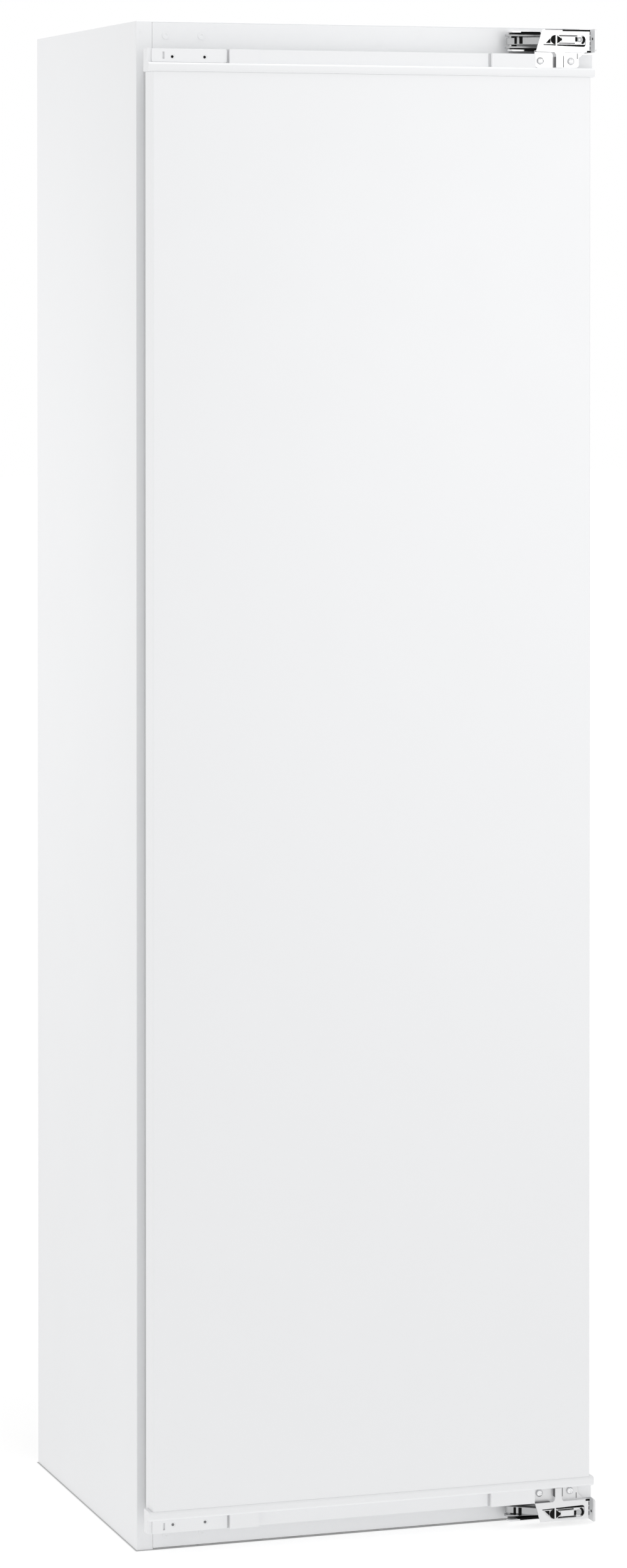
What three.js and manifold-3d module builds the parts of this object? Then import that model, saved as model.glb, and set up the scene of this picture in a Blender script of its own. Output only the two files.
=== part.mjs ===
// A built-in column refrigerator: a tall insulated cabinet with one fully flush door on multi-link hinges.
// Millimetres, +Z up, front towards -Y, origin at the middle of the base. Inside the file, y = 0 is the
// plane of the cabinet's front flange, and the whole group is moved back by half the cabinet's depth.
import * as THREE from 'three';
import { mergeVertices } from 'three/addons/utils/BufferGeometryUtils.js';
import Module from 'manifold-3d';

const wasm = await Module();
wasm.setup();

// Driving dimensions of the cabinet
const CABINET_WIDTH = 548;
const CABINET_DEPTH = 444;
const CABINET_HEIGHT = 1770;
const HALF_WIDTH = CABINET_WIDTH / 2;
const SHEET = 1;
const GAP = 0.3;
const FLANGE_WIDTH = 19.3;
const FLANGE_HOLE_INSET = 5;
const FLANGE_HOLE_DROP = 13.6;
const FLANGE_HOLE_RADIUS = 1.6;
const BASE_SHEET = 1.5;
const BASE_LIP_HEIGHT = 15;
const RAIL_SHEET = 1;
const RAIL_HEIGHT = 57;
const PLUG_HOLE_RADIUS = 3;
const PLUG_HOLE_PLACES = [36, 79];
const PLUG_HOLE_DROP = 16;

// Cold compartment and its insulation
const SIDE_INSULATION = 47;
const REAR_INSULATION = 54;
const CEILING_INSULATION = 70;
const CAVITY_HALF = HALF_WIDTH - SIDE_INSULATION;
const CAVITY_DEPTH = CABINET_DEPTH - REAR_INSULATION;
const CAVITY_FLOOR = 70;
const CAVITY_CEILING = CABINET_HEIGHT - CEILING_INSULATION;
const LINER_WALL = 1.5;

// Machine niche at the rear, and the step that it makes in the compartment
const NICHE_DEPTH = 174;
const NICHE_TOP = 205;
const NICHE_SIDE_INSET = 24;
const NICHE_SHEET = 1;
const NICHE_HALF_WIDTH = HALF_WIDTH - NICHE_SIDE_INSET;
const NICHE_START = CABINET_DEPTH - NICHE_DEPTH;
const STEP_INSULATION = 42;
const STEP_START = NICHE_START - STEP_INSULATION;
const STEP_TOP = 250;

// Shelves
const SHELF_COUNT = 5;
const LOWEST_SHELF = 445;
const TOP_SPACE = 30;
const SHELF_PITCH = (CAVITY_CEILING - TOP_SPACE - LOWEST_SHELF) / SHELF_COUNT;
const SHELF_HEIGHTS = Array.from({ length: SHELF_COUNT }, (_, i) => LOWEST_SHELF + i * SHELF_PITCH);
const SHELF_FRONT = 105;
const SHELF_REAR_CLEARANCE = 8;
const SHELF_REAR = CAVITY_DEPTH - SHELF_REAR_CLEARANCE;
const SHELF_SIDE_CLEARANCE = 5;
const PANE_THICKNESS = 4;
const TRIM_DEPTH = 12;
const TRIM_HEIGHT = 12;
const TRIM_ROUND = 4;
const TRIM_EDGE = 1;
const UPSTAND_DROP = 2;
const UPSTAND_RISE = 8;
const RIB_WIDTH = 11;
const RIB_HEIGHT = 5;
const RIB_SETBACK = 14;

// Crisper drawers
const DRAWER_WALL = 2.5;
const DRAWER_SIDE_INSET = 19;
const DRAWER_HALF_WIDTH = CAVITY_HALF - DRAWER_SIDE_INSET;
const DRAWER_FACE_OVERLAP = 4;
const DRAWER_FACE_HALF_WIDTH = DRAWER_HALF_WIDTH + DRAWER_FACE_OVERLAP;
const DRAWER_FRONT_ROUND = 3;
const DRAWER_REAR_ROUND = 8;
const DRAWER_FACE_THICKNESS = 3.3;
const DRAWER_FACE_DROP = 2;
const DRAWER_FACE_RISE = 1;
const DRAWER_RIM_HEIGHT = 3;
const DRAWER_RIM_INSET = 18;
const DRAWER_RIM_DROP = 8;
const DRAWER_RIM_END_GAP = 14;
const DRAWER_SIDE_CLEARANCE = 5;
const DRAWER_FLOOR_CLEARANCE = 8;
const DRAWER_REAR_CLEARANCE = 9;
const UPPER_DRAWER_FRONT = 122;
const LOWER_DRAWER_FRONT = 48;
const DRAWER_TOP_CLEARANCE = 5;
const LOWER_DRAWER_HEIGHT = 162;
const GRIP_HALF_WIDTH = 60;
const GRIP_DEPTH = 14;

// Controls and light at the ceiling
const HOUSING_HALF_WIDTH = 110;
const HOUSING_FRONT = 60;
const HOUSING_DEPTH = 140;
const HOUSING_HEIGHT = 44.7;
const HOUSING_WALL = 2.5;
const HOUSING_ROUND = 8;
const HOUSING_REAR_ROUND = 3;
const KNOB_X = 65;
const KNOB_RADIUS = 17;
const KNOB_LENGTH = 15;
const KNOB_RIDGE_HALF = 3;
const KNOB_RIDGE_LENGTH = 5;
const KNOB_RIDGE_INSET = 2;
const KNOB_STUB_RADIUS = 4;
const KNOB_STUB_LENGTH = 8;
const LAMP_CENTRE_X = -45;
const LAMP_HALF_WIDTH = 50;
const LAMP_INSET = 25;
const LAMP_DEPTH = 100;
const LAMP_HEIGHT = 4.2;
const LAMP_ROUND = 8;

// Air fan on the back wall
const AIR_HALF_WIDTH = 75;
const AIR_ABOVE_SHELF = 28;
const AIR_BELOW_SHELF = 13;
const AIR_BOTTOM = SHELF_HEIGHTS.at(-2) + AIR_ABOVE_SHELF;
const AIR_HEIGHT = SHELF_PITCH - AIR_ABOVE_SHELF - AIR_BELOW_SHELF;
const AIR_ROUND = 10;
const AIR_DEPTH = 27.7;
const AIR_WALL = 2;
const GRILLE_RADIUS = 40;
const GRILLE_PITCH = 10;
const GRILLE_SLOT = 5.6;
const GRILLE_COUNT = 7;
const OUTLET_HALF_WIDTH = 50;
const OUTLET_HEIGHT = 6;
const OUTLET_INSET = 14;
const FAN_RADIUS = 38;
const FAN_HUB_RADIUS = 13;
const FAN_LENGTH = 12;
const FAN_BLADES = 7;
const FAN_BLADE_CHORD = 11;
const FAN_BLADE_THICKNESS = 1.4;
const FAN_BLADE_PITCH = THREE.MathUtils.degToRad(38);
const MOTOR_RADIUS = 18;
const MOTOR_LENGTH = 9;
const MOTOR_SHAFT_RADIUS = 2;
const MOTOR_SHAFT_LENGTH = 8;

// Cooling circuit
const EVAPORATOR_SIDE_INSET = 47;
const EVAPORATOR_HALF_WIDTH = CAVITY_HALF - EVAPORATOR_SIDE_INSET;
const EVAPORATOR_BOTTOM = 700;
const EVAPORATOR_DROP = 350;
const EVAPORATOR_HEIGHT = CAVITY_CEILING - EVAPORATOR_DROP - EVAPORATOR_BOTTOM;
const EVAPORATOR_THICKNESS = 2.2;
const RISER_INSET = 52;
const RISER_X = HALF_WIDTH - RISER_INSET;
const COMPRESSOR_TO_RISER = 132;
const COMPRESSOR_TO_REAR = 79;
const COMPRESSOR_X = RISER_X - COMPRESSOR_TO_RISER;
const COMPRESSOR_Y = CABINET_DEPTH - COMPRESSOR_TO_REAR;
const COMPRESSOR_RADIUS = 68;
const COMPRESSOR_HEIGHT = 130;
const COMPRESSOR_SEAM = 4;
const COMPRESSOR_SINK = 0.5;
const FOOT_ROUND = 12;
const DRAIN_OFFSET = 30;
const DRAIN_X = COMPRESSOR_X - DRAIN_OFFSET;
const DRAIN_Y = CAVITY_DEPTH - DRAIN_OFFSET;
const DRAIN_RADIUS = 7;
const DRAIN_BORE = 5;
const FOOT_HALF_LENGTH = 85;
const FOOT_HALF_DEPTH = 53;
const FOOT_SHEET = 3;
const GROMMET_HEIGHT = 20;
const GROMMET_RADIUS = 11;
const GROMMET_NECK_RADIUS = 8;
const GROMMET_WAIST = 2;
const GROMMET_SLOPE = 2;
const GROMMET_REACH_X = 72;
const GROMMET_REACH_Y = 41;
const STUB_RADIUS = 5;
const STUB_BEHIND_CAVITY = 8.3;
const STUB_Y = CAVITY_DEPTH + STUB_BEHIND_CAVITY;
const STUB_REACH = 6;
const SUCTION_STUB_Z = 100;
const DISCHARGE_STUB_Z = 90;
const SUCTION_RADIUS = 4;
const SUCTION_TO_COMPRESSOR = 90;
const SUCTION_X = COMPRESSOR_X - SUCTION_TO_COMPRESSOR;
const SUCTION_LAP = 60;
const DISCHARGE_RADIUS = 3;
const RELAY_DEPTH = 41;
const RELAY_LENGTH = 60;
const RELAY_HEIGHT = 70;
const RELAY_BOTTOM = 60;
const RELAY_INNER_ROUND = 2;
const RELAY_ROUND = 5;
const RELAY_AHEAD = 42;
const GLAND_ACROSS = 24.6;
const GLAND_RISE = 42;
const GLAND_RADIUS = 8;
const GLAND_LENGTH = 15;
const GLAND_BORE = 4;
const GLAND_DIMPLE = 2;
const TRAY_HALF_SIZE = 60;
const TRAY_HEIGHT = 24;
const TRAY_WALL = 2;
const TRAY_ROUND = 10;
const DRIER_RADIUS = 9;
const DRIER_LENGTH = 95;
const DRIER_TO_REAR = 4;
const DRIER_Y = CABINET_DEPTH - DRIER_TO_REAR;
const DRIER_END_RADIUS = 3;
const DRIER_NECK_RADIUS = 4;
const DRIER_NECK = 10;
const DRIER_SHOULDER = 20;
const DRIER_CRIMP = 8;
const DRIER_TOP = 130;
const DRIER_LEAD_IN = 35;
const DRIER_CROSSING = 60;

// Wire-on-tube condenser behind the cabinet
const CONDENSER_STANDOFF = 28;
const CONDENSER_RADIUS = 2.4;
const CONDENSER_RUNS = 15;
const CONDENSER_BEND = 42;
const CONDENSER_BOTTOM = 350;
const CONDENSER_DROP = 230;
const CONDENSER_TOP = CABINET_HEIGHT - CONDENSER_DROP;
const CONDENSER_PITCH = (CONDENSER_TOP - CONDENSER_BOTTOM) / (CONDENSER_RUNS - 1);
const CONDENSER_SIDE_INSET = 69;
const CONDENSER_HALF_WIDTH = HALF_WIDTH - CONDENSER_SIDE_INSET;
const WIRE_SIZE = 2;
const WIRE_COUNT = 21;
const WIRE_OVERHANG = 40;
const WIRE_SIDE_INSET = 10;
const STRAP_HEIGHT = 12;
const POST_INSET = 36;
const POST_X = HALF_WIDTH - POST_INSET;
const POST_SIZE = 12;
const POST_LENGTH = 50;

// Door
const DOOR_FRONT = -50;
const DOOR_SIDE_INSET = 5;
const DOOR_END_INSET = 33.5;
const CAP_HEIGHT = 26.5;
const LOWER_CAP_SHIFT = 3.5;
const SKIN_SHEET = 1;
const SKIN_RETURN = 28;
const SKIN_CORNER = 2.5;
const DOOR_INNER_FACE = -13;
const DOOR_LINER_RIM = 8.4;
const DOOR_LINER_INSET = 7;
const DOOR_LINER_END_INSET = 4;
const DOOR_LINER_WALL = 1.5;
const DYKE_CLEARANCE = 15;
const DYKE_WIDTH = 16;
const DYKE_OUTER = CAVITY_HALF - DYKE_CLEARANCE;
const DYKE_INNER = DYKE_OUTER - DYKE_WIDTH;
const DYKE_REACH = 35;
const DYKE_END_GAP = 14;
const DYKE_END_WIDTH = 26;
const GASKET_WIDTH = 16;
const GASKET_INSET = 8;
const GASKET_BASE = 4;
const GASKET_NECK_WIDTH = 9;
const GASKET_MAGNET = 3;
const GASKET_MAGNET_WIDTH = 13;

// End caps of the door
const LIP_HEIGHT = 10.5;
const LIP_SIDE = 4.5;
const LIP_FRONT = 1.5;
const LIP_REAR = -29;
const LIP_ROUND = 3;
const CORNER_ROUND = 2.5;
const POCKET_DEPTH = 5.8;
const BRACKET_POCKET_END = 97.9;
const STRIP_START = 133;
const STRIP_END = -129;
const GROOVE_DEPTH = 10;
const GROOVE_WIDTH = 2.4;
const EAR_POCKET_START = -74.2;
const EAR_POCKET_DEPTH = 8;

// Fixing brackets for the furniture door
const BRACKET_START = 5.5;
const BRACKET_LENGTH = 90.3;
const BRACKET_HEIGHT = 15.4;
const BRACKET_SHEET = 1.5;
const BRACKET_ROUND = 1.5;
const BRACKET_HOLES = [30.8, 69.5];
const BRACKET_HOLE_DROP = 43;
const BRACKET_HOLE_RADIUS = 2.6;
const BRACKET_SLOT_X = 19.5;
const BRACKET_SLOT_WIDTH = 2.4;
const BRACKET_SLOT_HEIGHT = 8;
const BRACKET_HOLE_DEPTH = 10;

// Door bins
const BIN_HEIGHTS = [120, 90, 90, 80];
const LOWEST_BIN = 270;
const HIGHEST_BIN_DROP = 320;
const BIN_PITCH = (CAVITY_CEILING - HIGHEST_BIN_DROP - LOWEST_BIN) / (BIN_HEIGHTS.length - 1);
const BIN_BOTTOMS = BIN_HEIGHTS.map((_, i) => LOWEST_BIN + i * BIN_PITCH);
const BIN_REAR = 88;
const BIN_WALL = 2.5;
const BIN_ROUND = 14;
const BIN_DOOR_ROUND = 2;
const LEDGE_WIDTH = 9;
const LEDGE_DEPTH = 30;
const LEDGE_HEIGHT = 6;
const LID_SHEET = 3;
const LID_CUT_HEIGHT = 20;
const EAR_SINK = 3;
const LID_PIVOT_Y = -3;
const LID_PIVOT_RISE = 6;
const LID_PIN_RADIUS = 2;
const LID_PIN_LENGTH = 7;
const EAR_THICKNESS = 4.7;
const EAR_RADIUS = 6;

// Hinge, placed from the door's turning axis at the cabinet's side and the door's front plane
const HINGE_DROP = 17.5;
const LOWER_HINGE_SHIFT = 1;
const BASE_PIVOT = [-43, 30];
const DOOR_PIVOT = [-50, 7];
const BASE_HALF_HEIGHT = 12;
const ARM_HALF_HEIGHT = 8;
const COUPLER_HALF_HEIGHT = 4;
const HINGE_SHEET = 2;
const ARM_HALF_WIDTH = 6;
const ARM_WEB = 1.6;
const ARM_WEB_SETBACK = 9;
const COUPLER_HALF_WIDTH = 4.5;
const BASE_PIN_RADIUS = 3;
const LINK_PIN_RADIUS = 2.5;
const PIVOT_CLEARANCE = 0.4;
const BASE_LEFT = -99;
const BASE_NOTCH = 5;
const BASE_FLANGE_RIGHT = -30;
const BASE_FLANGE_FRONT = -26;
const BASE_LEFT_ROUND = 5;
const BASE_RIGHT_ROUND = 9;
const WING_FRONT = -49.5;
const WING_HALF_HEIGHT = 13;
const WING_RISE = 1.5;
const WING_ROUND = 2;
const WING_HOLE = [-42.5, 3];
const WING_HOLE_RADIUS = 1;
const PLATE_TOP_LEFT = -66.2;
const PLATE_BOTTOM_LEFT = -74;
const PLATE_RIGHT = -7;
const PLATE_HALF_HEIGHT = 13;
const PLATE_SHEET = 1.6;
const WINDOW_LEFT = -65.3;
const WINDOW_RIGHT = -11.8;
const WINDOW_HALF_HEIGHT = 7;
const WINDOW_SLOPE = [[-65.3, -5.5], [-60.5, 1], [-52, 7]];
const WINDOW_ROUNDS = [3, 6];
const LUG_HALF_WIDTH = 5;
const LUG_REACH = 13;
const NECK_LEFT = -48.8;
const NECK_RIGHT = -40.5;
const NECK_FILLET = 5.5;
const EAR_LEFT = -73.6;
const EAR_RIGHT = -18;
const EAR_SHOULDER = [-8, 8];
const EAR_ROUND = 4;
const SCREW_PLACES = [-66.8, -28.2];
const SCREW_DROP = 41.4;
const SCREW_HEAD_RADIUS = 4.3;
const SCREW_HEAD_HEIGHT = 2.4;
const SCREW_SHANK_RADIUS = 2;
const SCREW_LENGTH = 10;
const SCREW_SOCKET = 1.4;

// Places that follow from the driving dimensions
const LEFT = -HALF_WIDTH;
const WRAPPER_INNER = HALF_WIDTH - SHEET;
const RAIL_HALF = HALF_WIDTH - FLANGE_WIDTH - GAP;
const RAIL_TOP = CABINET_HEIGHT - SHEET - GAP;
const RAIL_FLOOR = BASE_SHEET + GAP;
const TOP_RAIL_BOTTOM = CABINET_HEIGHT - RAIL_HEIGHT - SHEET;
const BOTTOM_RAIL_TOP = RAIL_HEIGHT + SHEET;
const DOOR_HALF = HALF_WIDTH - DOOR_SIDE_INSET;
const DOOR_TOP = CABINET_HEIGHT - DOOR_END_INSET;
const SKIN_TOP = DOOR_TOP - CAP_HEIGHT;
const SKIN_BOTTOM = DOOR_END_INSET + CAP_HEIGHT - LOWER_CAP_SHIFT;
const SKIN_REAR = DOOR_FRONT + SKIN_RETURN;
const LINER_HALF = DOOR_HALF - DOOR_LINER_INSET;
const LINER_TOP = DOOR_TOP - DOOR_LINER_END_INSET;
const LINER_BOTTOM = CABINET_HEIGHT - LINER_TOP;
const DYKE_TOP = CAVITY_CEILING - DYKE_END_GAP;
const DYKE_BOTTOM = CAVITY_FLOOR + DYKE_END_GAP;
const HINGE_MIDDLE = CABINET_HEIGHT - HINGE_DROP;
const REAR_FACE = CABINET_DEPTH;
const CONDENSER_Y = REAR_FACE + CONDENSER_STANDOFF;
const COMPRESSOR_BOTTOM = BASE_SHEET + GROMMET_HEIGHT + 2 * GAP;
const TRAY_BOTTOM = COMPRESSOR_BOTTOM + FOOT_SHEET + COMPRESSOR_HEIGHT + GAP;
const EVAPORATOR_Y = CAVITY_DEPTH + LINER_WALL + GAP;

// Colours, roughness and metalness
const finish = (color, roughness, metalness = 0) => ({ color, roughness, metalness });
const FINISHES = {
  white_steel: finish(0xf4f5f6, 0.35),
  white_plastic: finish(0xf1f2f3, 0.42),
  liner_plastic: finish(0xf5f6f6, 0.38),
  foam: finish(0xe6d9ae, 0.9),
  gasket: finish(0xdcdddd, 0.6),
  glass: finish(0xdfeeea, 0.06),
  clear_plastic: finish(0xe8eef2, 0.12),
  chrome: finish(0xc9cbcd, 0.18, 1),
  dark_steel: finish(0x1c1d1f, 0.45, 0.4),
  galvanised: finish(0xb7babd, 0.45, 0.8),
  copper: finish(0xb4643a, 0.3, 1),
  aluminium: finish(0xc8cacc, 0.35, 1),
  rubber: finish(0x222222, 0.85),
  black_plastic: finish(0x1a1a1c, 0.5),
};

const group = new THREE.Group();

// Solids

/** A three.js geometry as a solid, with its shared vertices merged. */
function solidOf(geometry) {
  const bare = geometry.index ? geometry.toNonIndexed() : geometry.clone();
  bare.deleteAttribute('normal');
  bare.deleteAttribute('uv');
  const merged = mergeVertices(bare, 1e-4);
  const corners = merged.index.array;
  const kept = [];
  for (let i = 0; i < corners.length; i += 3) {
    const [a, b, c] = [corners[i], corners[i + 1], corners[i + 2]];
    if (a !== b && b !== c && c !== a) kept.push(a, b, c);
  }
  const vertProperties = merged.attributes.position.array;
  return new wasm.Manifold(new wasm.Mesh({ numProp: 3, vertProperties, triVerts: new Uint32Array(kept) }));
}

/** A solid as a flat-shaded three.js geometry. */
function geometryOf(solid) {
  const { vertProperties, triVerts } = solid.getMesh();
  const geometry = new THREE.BufferGeometry();
  geometry.setAttribute('position', new THREE.BufferAttribute(new Float32Array(vertProperties), 3));
  geometry.setIndex(new THREE.BufferAttribute(new Uint32Array(triVerts), 1));
  const flat = geometry.toNonIndexed();
  flat.computeVertexNormals();
  return flat;
}

/** Adds a solid to the model as its own named mesh. */
function piece(name, solid, look) {
  const mesh = new THREE.Mesh(geometryOf(solid), new THREE.MeshStandardMaterial(FINISHES[look]));
  mesh.name = name;
  group.add(mesh);
}

/** Joins a list of solids. */
const join = (...solids) => solids.reduce((whole, part) => whole.add(part));

/** Cuts each of the other solids from the first. */
const cut = (solid, ...tools) => tools.reduce((whole, tool) => whole.subtract(tool), solid);

/** A box between the low and high values of each axis. */
function block([x0, x1], [y0, y1], [z0, z1]) {
  const geometry = new THREE.BoxGeometry(x1 - x0, y1 - y0, z1 - z0);
  geometry.translate((x0 + x1) / 2, (y0 + y1) / 2, (z0 + z1) / 2);
  return solidOf(geometry);
}

// How an outline drawn in u and v stands along each axis: (y, z) along x, (x, z) along y, (x, y) along z
const STANDING = {
  x: new THREE.Matrix4().set(0, 0, 1, 0, 1, 0, 0, 0, 0, 1, 0, 0, 0, 0, 0, 1),
  y: new THREE.Matrix4().set(1, 0, 0, 0, 0, 0, -1, 0, 0, 1, 0, 0, 0, 0, 0, 1),
  z: new THREE.Matrix4(),
};

/** An outline extruded along an axis, from low to high. */
function prism(outline, axis, [low, high], curveSegments = 2) {
  const options = { depth: high - low, bevelEnabled: false, curveSegments };
  const geometry = new THREE.ExtrudeGeometry(outline, options);
  geometry.translate(0, 0, axis === 'y' ? -high : low);
  return solidOf(geometry.applyMatrix4(STANDING[axis]));
}

/** A round bar along an axis. The centre is (y, z), (x, z) or (x, y). */
function rod(axis, [u, v], radius, [low, high], sides = 16) {
  const geometry = new THREE.CylinderGeometry(radius, radius, high - low, sides);
  const middle = (low + high) / 2;
  if (axis === 'x') geometry.rotateZ(Math.PI / 2).translate(middle, u, v);
  if (axis === 'y') geometry.translate(u, middle, v);
  if (axis === 'z') geometry.rotateX(Math.PI / 2).translate(u, v, middle);
  return solidOf(geometry);
}

/** A turned shape about an upright line, from pairs of radius and height. */
function turned(profile, [x, y, z], segments = 20) {
  const points = profile.map(([radius, height]) => new THREE.Vector2(radius, height));
  const geometry = new THREE.LatheGeometry(points, segments);
  return solidOf(geometry.rotateX(Math.PI / 2).translate(x, y, z));
}

/** A closed outline through corner points. */
const polygon = (points) => new THREE.Shape(points.map(([u, v]) => new THREE.Vector2(u, v)));

/** A rectangle with its own radius at each corner, from the low-u low-v corner round. */
function roundedBox([u0, u1], [v0, v1], [lowLow, highLow, highHigh, lowHigh]) {
  const shape = new THREE.Shape();
  const corner = (u, v, radius, start) => {
    if (radius > 0) shape.absarc(u, v, radius, start, start + Math.PI / 2, false);
    else shape.lineTo(u, v);
  };
  shape.moveTo(u0 + lowLow, v0);
  corner(u1 - highLow, v0 + highLow, highLow, -Math.PI / 2);
  corner(u1 - highHigh, v1 - highHigh, highHigh, 0);
  corner(u0 + lowHigh, v1 - lowHigh, lowHigh, Math.PI / 2);
  corner(u0 + lowLow, v0 + lowLow, lowLow, Math.PI);
  return shape;
}

/** A bar outline with round ends between two points. */
function capsule([ax, ay], [bx, by], radius) {
  const lean = Math.atan2(by - ay, bx - ax);
  const shape = new THREE.Shape();
  shape.absarc(bx, by, radius, lean - Math.PI / 2, lean + Math.PI / 2, false);
  shape.absarc(ax, ay, radius, lean + Math.PI / 2, lean + 1.5 * Math.PI, false);
  return shape;
}

/** The same solid at the other end of the cabinet, upside down and lowered by a shift. */
function atBottom(solid, shift = 0) {
  const { vertProperties, triVerts } = solid.getMesh();
  const height = CABINET_HEIGHT - shift;
  const vertices = vertProperties.map((value, i) => (i % 3 === 2 ? height - value : value));
  const turnedRound = triVerts.map((_, i) => triVerts[i - (i % 3) + (2 - (i % 3))]);
  return new wasm.Manifold(new wasm.Mesh({ numProp: 3, vertProperties: vertices, triVerts: turnedRound }));
}

/** A curve through given points that an extrusion follows point by point. */
class Route extends THREE.Curve {
  constructor(points) {
    super();
    this.points = points;
  }

  getPoint(t, target = new THREE.Vector3()) {
    const along = t * (this.points.length - 1);
    const i = Math.min(Math.floor(along), this.points.length - 2);
    return target.lerpVectors(this.points[i], this.points[i + 1], along - i);
  }

  getPointAt(t, target) {
    return this.getPoint(t, target);
  }

  getTangent(t, target = new THREE.Vector3()) {
    const last = this.points.length - 1;
    const i = Math.round(t * last);
    const before = this.points[i].clone().sub(this.points[Math.max(i - 1, 0)]).normalize();
    const after = this.points[Math.min(i + 1, last)].clone().sub(this.points[i]).normalize();
    return target.addVectors(before, after).normalize();
  }

  getTangentAt(t, target) {
    return this.getTangent(t, target);
  }
}

/** Corner points as a route whose corners are arcs, as wide as the straights beside them allow. */
function bent(corners, radius, steps = 4) {
  const points = corners.map((corner) => new THREE.Vector3(...corner));
  const route = [points[0]];
  for (let i = 1; i < points.length - 1; i += 1) {
    const incoming = points[i].clone().sub(points[i - 1]).normalize();
    const outgoing = points[i + 1].clone().sub(points[i]).normalize();
    const turn = incoming.angleTo(outgoing);
    const room = 0.49 * Math.min(points[i].distanceTo(points[i - 1]), points[i].distanceTo(points[i + 1]));
    const reach = Math.min(radius * Math.tan(turn / 2), room);
    const arc = reach / Math.tan(turn / 2);
    const axis = incoming.clone().cross(outgoing).normalize();
    const start = points[i].clone().addScaledVector(incoming, -reach);
    const inward = axis.clone().cross(incoming).multiplyScalar(arc);
    const centre = start.clone().add(inward);
    for (let k = 0; k <= steps; k += 1) {
      route.push(inward.clone().negate().applyAxisAngle(axis, (turn * k) / steps).add(centre));
    }
  }
  route.push(points[points.length - 1]);
  return route;
}

/** A pipe along corner points. */
function pipe(corners, radius, bendRadius, sides = 8) {
  const route = bent(corners, bendRadius);
  const section = new THREE.Shape();
  section.absarc(0, 0, radius, 0, 2 * Math.PI, false);
  const options = { steps: route.length - 1, extrudePath: new Route(route), curveSegments: sides / 2 };
  return solidOf(new THREE.ExtrudeGeometry(section, options));
}

/** A shallow tub: a rounded outline with a floor, open at the top. */
function tub([x0, x1], [y0, y1], [z0, z1], wall, radii) {
  const inner = radii.map((radius) => Math.max(radius - wall, 0));
  return cut(
    prism(roundedBox([x0, x1], [y0, y1], radii), 'z', [z0, z1]),
    prism(roundedBox([x0 + wall, x1 - wall], [y0 + wall, y1 - wall], inner), 'z', [z0 + wall, z1 + wall]),
  );
}

// Places measured from the cabinet's left and right side and from its top
const fromLeft = (distance) => LEFT + distance;
const fromRight = (distance) => HALF_WIDTH + distance;
const fromTop = (distance) => CABINET_HEIGHT - distance;
const both = (half) => [-half, half];
const fromMiddle = (side, [near, far]) => (side > 0 ? [near, far] : [-far, -near]);
const alike = (radius) => [radius, radius, radius, radius];

// Cabinet

/** The folded outer skin: both sides, the top and the front flanges in one sheet. */
function cabinetWrapper() {
  const outer = block(both(HALF_WIDTH), [0, CABINET_DEPTH], [0, CABINET_HEIGHT]);
  const inside = block(both(WRAPPER_INNER), [SHEET, CABINET_DEPTH + SHEET], [-SHEET, CABINET_HEIGHT - SHEET]);
  const window = block(both(HALF_WIDTH - FLANGE_WIDTH), [-SHEET, 2 * SHEET], [-SHEET, CABINET_HEIGHT - SHEET]);
  const holes = [];
  for (const side of [-1, 1]) {
    for (const z of [FLANGE_HOLE_DROP, fromTop(FLANGE_HOLE_DROP)]) {
      const centre = [side * (HALF_WIDTH - FLANGE_HOLE_INSET), z];
      holes.push(rod('y', centre, FLANGE_HOLE_RADIUS, [-SHEET, 2 * SHEET], 8));
    }
  }
  return cut(outer, inside, window, ...holes);
}

/** The outline of the cold compartment seen from the side, grown outwards by a wall. */
function cavityOutline(grow, front) {
  return polygon([
    [front, CAVITY_FLOOR - grow],
    [STEP_START + grow, CAVITY_FLOOR - grow],
    [STEP_START + grow, STEP_TOP - grow],
    [CAVITY_DEPTH + grow, STEP_TOP - grow],
    [CAVITY_DEPTH + grow, CAVITY_CEILING + grow],
    [front, CAVITY_CEILING + grow],
  ]);
}

/** A pair of ribs on the liner's side walls, whose top is at the given height. */
function sideRibs(top, y) {
  const z = [top - RIB_HEIGHT, top];
  return join(
    block([CAVITY_HALF - RIB_WIDTH, CAVITY_HALF + LINER_WALL / 2], y, z),
    block([-CAVITY_HALF - LINER_WALL / 2, RIB_WIDTH - CAVITY_HALF], y, z),
  );
}

const upperDrawerTop = SHELF_HEIGHTS[0] - DRAWER_TOP_CLEARANCE;
const lowerDrawerTop = CAVITY_FLOOR + DRAWER_FLOOR_CLEARANCE + LOWER_DRAWER_HEIGHT;
const rimBottom = (top) => top - DRAWER_RIM_DROP - DRAWER_RIM_HEIGHT;

/** The moulded inner lining with its front flange, shelf ribs and drawer ribs. */
function cabinetLiner() {
  const shell = prism(cavityOutline(LINER_WALL, 0), 'x', both(CAVITY_HALF + LINER_WALL));
  const flange = block(both(RAIL_HALF), [0, LINER_WALL], [BOTTOM_RAIL_TOP + GAP, TOP_RAIL_BOTTOM - GAP]);
  const hollow = prism(cavityOutline(0, -LINER_WALL), 'x', both(CAVITY_HALF));
  const shelfY = [SHELF_FRONT + RIB_SETBACK, SHELF_REAR - TRIM_DEPTH];
  const ribs = SHELF_HEIGHTS.map((z) => sideRibs(z - GAP, shelfY));
  ribs.push(sideRibs(rimBottom(upperDrawerTop) - GAP, [UPPER_DRAWER_FRONT + RIB_SETBACK, SHELF_REAR]));
  ribs.push(sideRibs(rimBottom(lowerDrawerTop) - GAP, [LOWER_DRAWER_FRONT + RIB_SETBACK, STEP_START]));
  const drainZ = [STEP_TOP - 2 * LINER_WALL, STEP_TOP + LINER_WALL];
  const drain = rod('z', [DRAIN_X, DRAIN_Y], DRAIN_BORE, drainZ, 12);
  return cut(join(cut(join(shell, flange), hollow), ...ribs), drain);
}

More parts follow.
